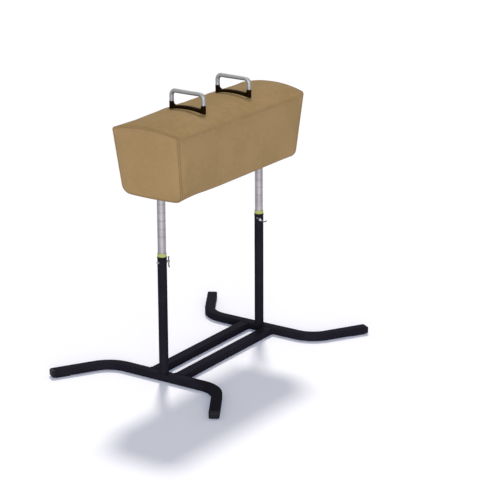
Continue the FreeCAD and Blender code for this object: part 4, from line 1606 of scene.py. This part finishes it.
# --- Posts ---
@dataclass
class Post:
    """What shows on a post: bush, collar, lever and welds. Angles are in degrees.

    A slope is how far a ring's rim comes in and down, and a bead is how far its middle lies
    outside the tube, and its radius.
    """

    name: str
    tube_radius: float = 0.0215
    inner_radius: float = 0.019
    bush_radius: float = 0.021
    bush_height: float = 0.017
    bush_chamfer: float = 0.002
    bush_gap: float = 0.1 * MM
    bush_lip: float = 0.6 * MM
    bush_slope: tuple[float, float] = (0.5 * MM, 0.9 * MM)
    bush_round: float = 0.35 * MM
    collar_radius: float = 0.0225
    collar_height: float = 0.010
    collar_gap: float = 0.05 * MM
    collar_slope: tuple[float, float] = (0.5 * MM, 0.8 * MM)
    collar_round: float = 0.3 * MM
    clamp_drop: float = 0.0245
    clamp_angle: float = -45.0
    head_middle: float = 0.0301
    lever_radius: float = 0.003
    lever_short: float = 0.016
    lever_long: float = 0.022
    lever_bend: float = 50.0
    lever_bend_radius: float = 0.012
    lever_bend_steps: int = 8
    lever_tip: float = 0.010
    lever_cranks: dict[str, float] = field(default_factory=lambda: {"near": 70.0, "far": 105.0})
    lever_turns: dict[str, float] = field(default_factory=lambda: {"near": -90.0, "far": -35.0})
    stop_radius: float = 0.004
    stop_height: float = 0.003
    stop_round: float = 0.6 * MM
    stop_face: float = 0.75
    post_bead: tuple[float, float] = (0.8 * MM, 2.6 * MM)
    flange_bead: tuple[float, float] = (0.5 * MM, 1.8 * MM)
    foot: Vector = field(init=False)
    top: Vector = field(init=False)

    def build(self) -> None:
        """Build what shows on the post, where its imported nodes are."""
        low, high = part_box("post_tube_" + self.name)
        self.foot, self.top = (Vector(((low.x + high.x) / 2.0, 0, end.z)) for end in (low, high))
        self.build_bush()
        self.build_collar()
        self.build_lever()
        self.build_welds()

    def build_bush(self) -> None:
        """Mould the bush that shows above the outer tube."""
        bore, outer, rim = self.inner_radius + self.bush_gap, self.bush_radius, self.bush_height
        lip, (inset, drop) = self.bush_lip, self.bush_slope
        profile = [(bore, 0.0), (outer - lip, 0.0), (outer, lip),
                   (outer, rim - self.bush_chamfer), (outer - inset, rim - drop),
                   (bore + lip, rim), (bore, rim - lip)]
        bush = turned(profile, Matrix.Translation(self.top), hollow=True)
        soften(bush, self.bush_round, segments=2, angle=20.0)
        finish_piece(bush, "bush_" + self.name, Body.STAND, "bush_yellow",
                     "guide_bush_" + self.name)

    def build_collar(self) -> None:
        """Roll the collar round the outer tube's end."""
        inner, outer = self.tube_radius + self.collar_gap, self.collar_radius
        height, (inset, drop) = self.collar_height, self.collar_slope
        profile = [(inner, -height), (outer - inset, -height), (outer, drop - height),
                   (outer, -drop), (outer - inset, 0.0), (inner, 0.0)]
        collar = turned(profile, Matrix.Translation(self.top), hollow=True)
        soften(collar, self.collar_round, segments=2, angle=20.0)
        finish_piece(collar, "collar_" + self.name, Body.STAND, "collar_black",
                     "post_collar_" + self.name)

    def build_lever(self) -> None:
        """Bend the bar that turns the clamping screw, with a stop at its straight end."""
        turn = math.radians(self.lever_turns[self.name])
        crank = math.radians(self.lever_cranks[self.name])
        run, out = Vector((0, math.cos(turn), math.sin(turn))), Vector((1, 0, 0))
        towards = out * math.cos(crank) + out.cross(run) * math.sin(crank)
        angle = self.clamp_angle if POSTS[self.name] < 0 else 180.0 - self.clamp_angle
        place = (Matrix.Translation(self.top - Vector((0, 0, self.clamp_drop)))
                 @ Matrix.Rotation(math.radians(angle), 4, "Z"))
        start = out * self.head_middle - run * self.lever_long
        bend = Bend(self.lever_bend_radius, self.lever_bend, tuple(towards),
                    self.lever_bend_steps)
        moves = [Straight(self.lever_long + self.lever_short), bend, Straight(self.lever_tip)]
        bar = BentRod(start, run, self.lever_radius, moves).build(place)
        along = place @ Matrix.Translation(start) @ run.to_track_quat("Z", "Y").to_matrix().to_4x4()
        rim, face = self.stop_radius, self.stop_radius * self.stop_face
        stop = turned([(face, 0.0), (rim, self.stop_round),
                       (rim, self.stop_height - self.stop_round), (face, self.stop_height)],
                      along, sides=24)
        finish_piece(joined([bar, stop]), "lever_" + self.name, Body("bar_" + self.name),
                     "screw_steel", "cross_bar_" + self.name, look="lever_steel")

    def build_welds(self) -> None:
        """Lay the round weld beads at the post's foot and under its mounting flange."""
        out, bead = self.post_bead
        finish_piece(round_weld(self.foot, self.tube_radius + out, bead),
                     "post_weld_" + self.name, Body.STAND, "frame_black", smooth=60.0)
        out, bead = self.flange_bead
        flange = Vector((self.foot.x, 0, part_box("mounting_flange_" + self.name)[0].z))
        finish_piece(round_weld(flange, self.inner_radius + out, bead),
                     "flange_weld_" + self.name, Body.HORSE, "zinc_steel", smooth=60.0)


def round_weld(middle: Vector, radius: float, bead: float, spacing: float = 1.3,
               dip: float = 0.22) -> Piece:
    """Weld bead in a ring, rippled along its run.

    Args:
        middle: Middle of the ring.
        radius: The ring's radius.
        bead: The bead's radius.
        spacing: Distance from ripple to ripple, in bead radii.
        dip: How deep the ripples are, in bead radii.

    Returns:
        The new object.
    """
    ripples = max(24, round(math.tau * radius / (bead * spacing)))
    bpy.ops.mesh.primitive_torus_add(major_radius=radius, minor_radius=bead, location=middle,
                                     major_segments=2 * ripples, minor_segments=8)
    ring = fresh()
    step = math.tau / (2 * ripples)
    with editing(ring):
        pick(ring, Part.VERTS, lambda point: round(
            math.atan2(point.co.y - middle.y, point.co.x - middle.x) / step) % 2 == 0)
        bpy.ops.transform.shrink_fatten(value=-bead * dip)
    return ring


# --- Base frame ---
@dataclass
class BaseFrame:
    """Weld beads where the spreaders meet the foot tubes."""

    bead: float = 2.4 * MM
    corner: float = 0.005
    cuts: int = 13
    ripple_size: float = 0.9
    ripple_depth: float = 0.25

    def build(self) -> None:
        """Lay a bead round each spreader's two ends."""
        for name in ("left", "right"):
            low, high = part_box("spreader_" + name)
            beads = [self.square_weld(x, low, high) for x in (low.x, high.x)]
            finish_piece(joined(beads), "spreader_weld_" + name, Body.STAND, "frame_black",
                         smooth=60.0)

    def square_weld(self, x: float, low: Vector, high: Vector) -> Piece:
        """Weld bead round a rectangular tube's end.

        Args:
            x: Where the tube ends.
            low: The tube's lowest corner.
            high: Its highest corner.

        Returns:
            The new object.
        """
        middle = (x, (low.y + high.y) / 2.0, (low.z + high.z) / 2.0)
        bpy.ops.mesh.primitive_plane_add(size=1.0, location=middle, rotation=(0, QUARTER, 0))
        loop = fresh()
        with editing(loop):
            bpy.ops.mesh.select_all(action="SELECT")
            bpy.ops.transform.resize(value=(1.0, high.y - low.y, high.z - low.z),
                                     center_override=middle)
            bpy.ops.mesh.bevel(offset=self.corner, segments=4, affect="VERTICES")
            bpy.ops.mesh.select_mode(type="FACE")
            bpy.ops.mesh.select_all(action="SELECT")
            bpy.ops.mesh.delete(type="ONLY_FACE")
            pick(loop, Part.EDGES, lambda edge: max(map(abs, direction(edge))) > 0.9999)
            bpy.ops.mesh.subdivide(number_cuts=self.cuts)
        only(loop)
        bpy.ops.object.convert(target="CURVE")
        loop.data.bevel_depth = self.bead
        loop.data.bevel_resolution = 2
        bpy.ops.object.convert(target="MESH")
        places = [point.co.copy() for point in loop.data.vertices]
        sizes = swirl(places, self.bead * self.ripple_size)
        for point, size in zip(loop.data.vertices, sizes):
            point.co += point.normal * self.bead * self.ripple_depth * size
        return loop


# --- Whole object ---
def dress_nodes() -> None:
    """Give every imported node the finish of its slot."""
    for name, node in frame["nodes"].items():
        node.data.materials.clear()
        node.data.materials.append(finish(NODE_SLOTS[name]))


def main() -> None:
    """Build everything in order."""
    logging.basicConfig(level=logging.INFO, format="%(name)s: %(message)s")
    Studio().build()
    dress_nodes()
    for assembly in (BaseFrame(), *map(Post, POSTS), PaddedBody(), *map(Pommel, POSTS)):
        assembly.build()
        log.info("%s is built", type(assembly).__name__)


if __name__ == "__main__":
    main()
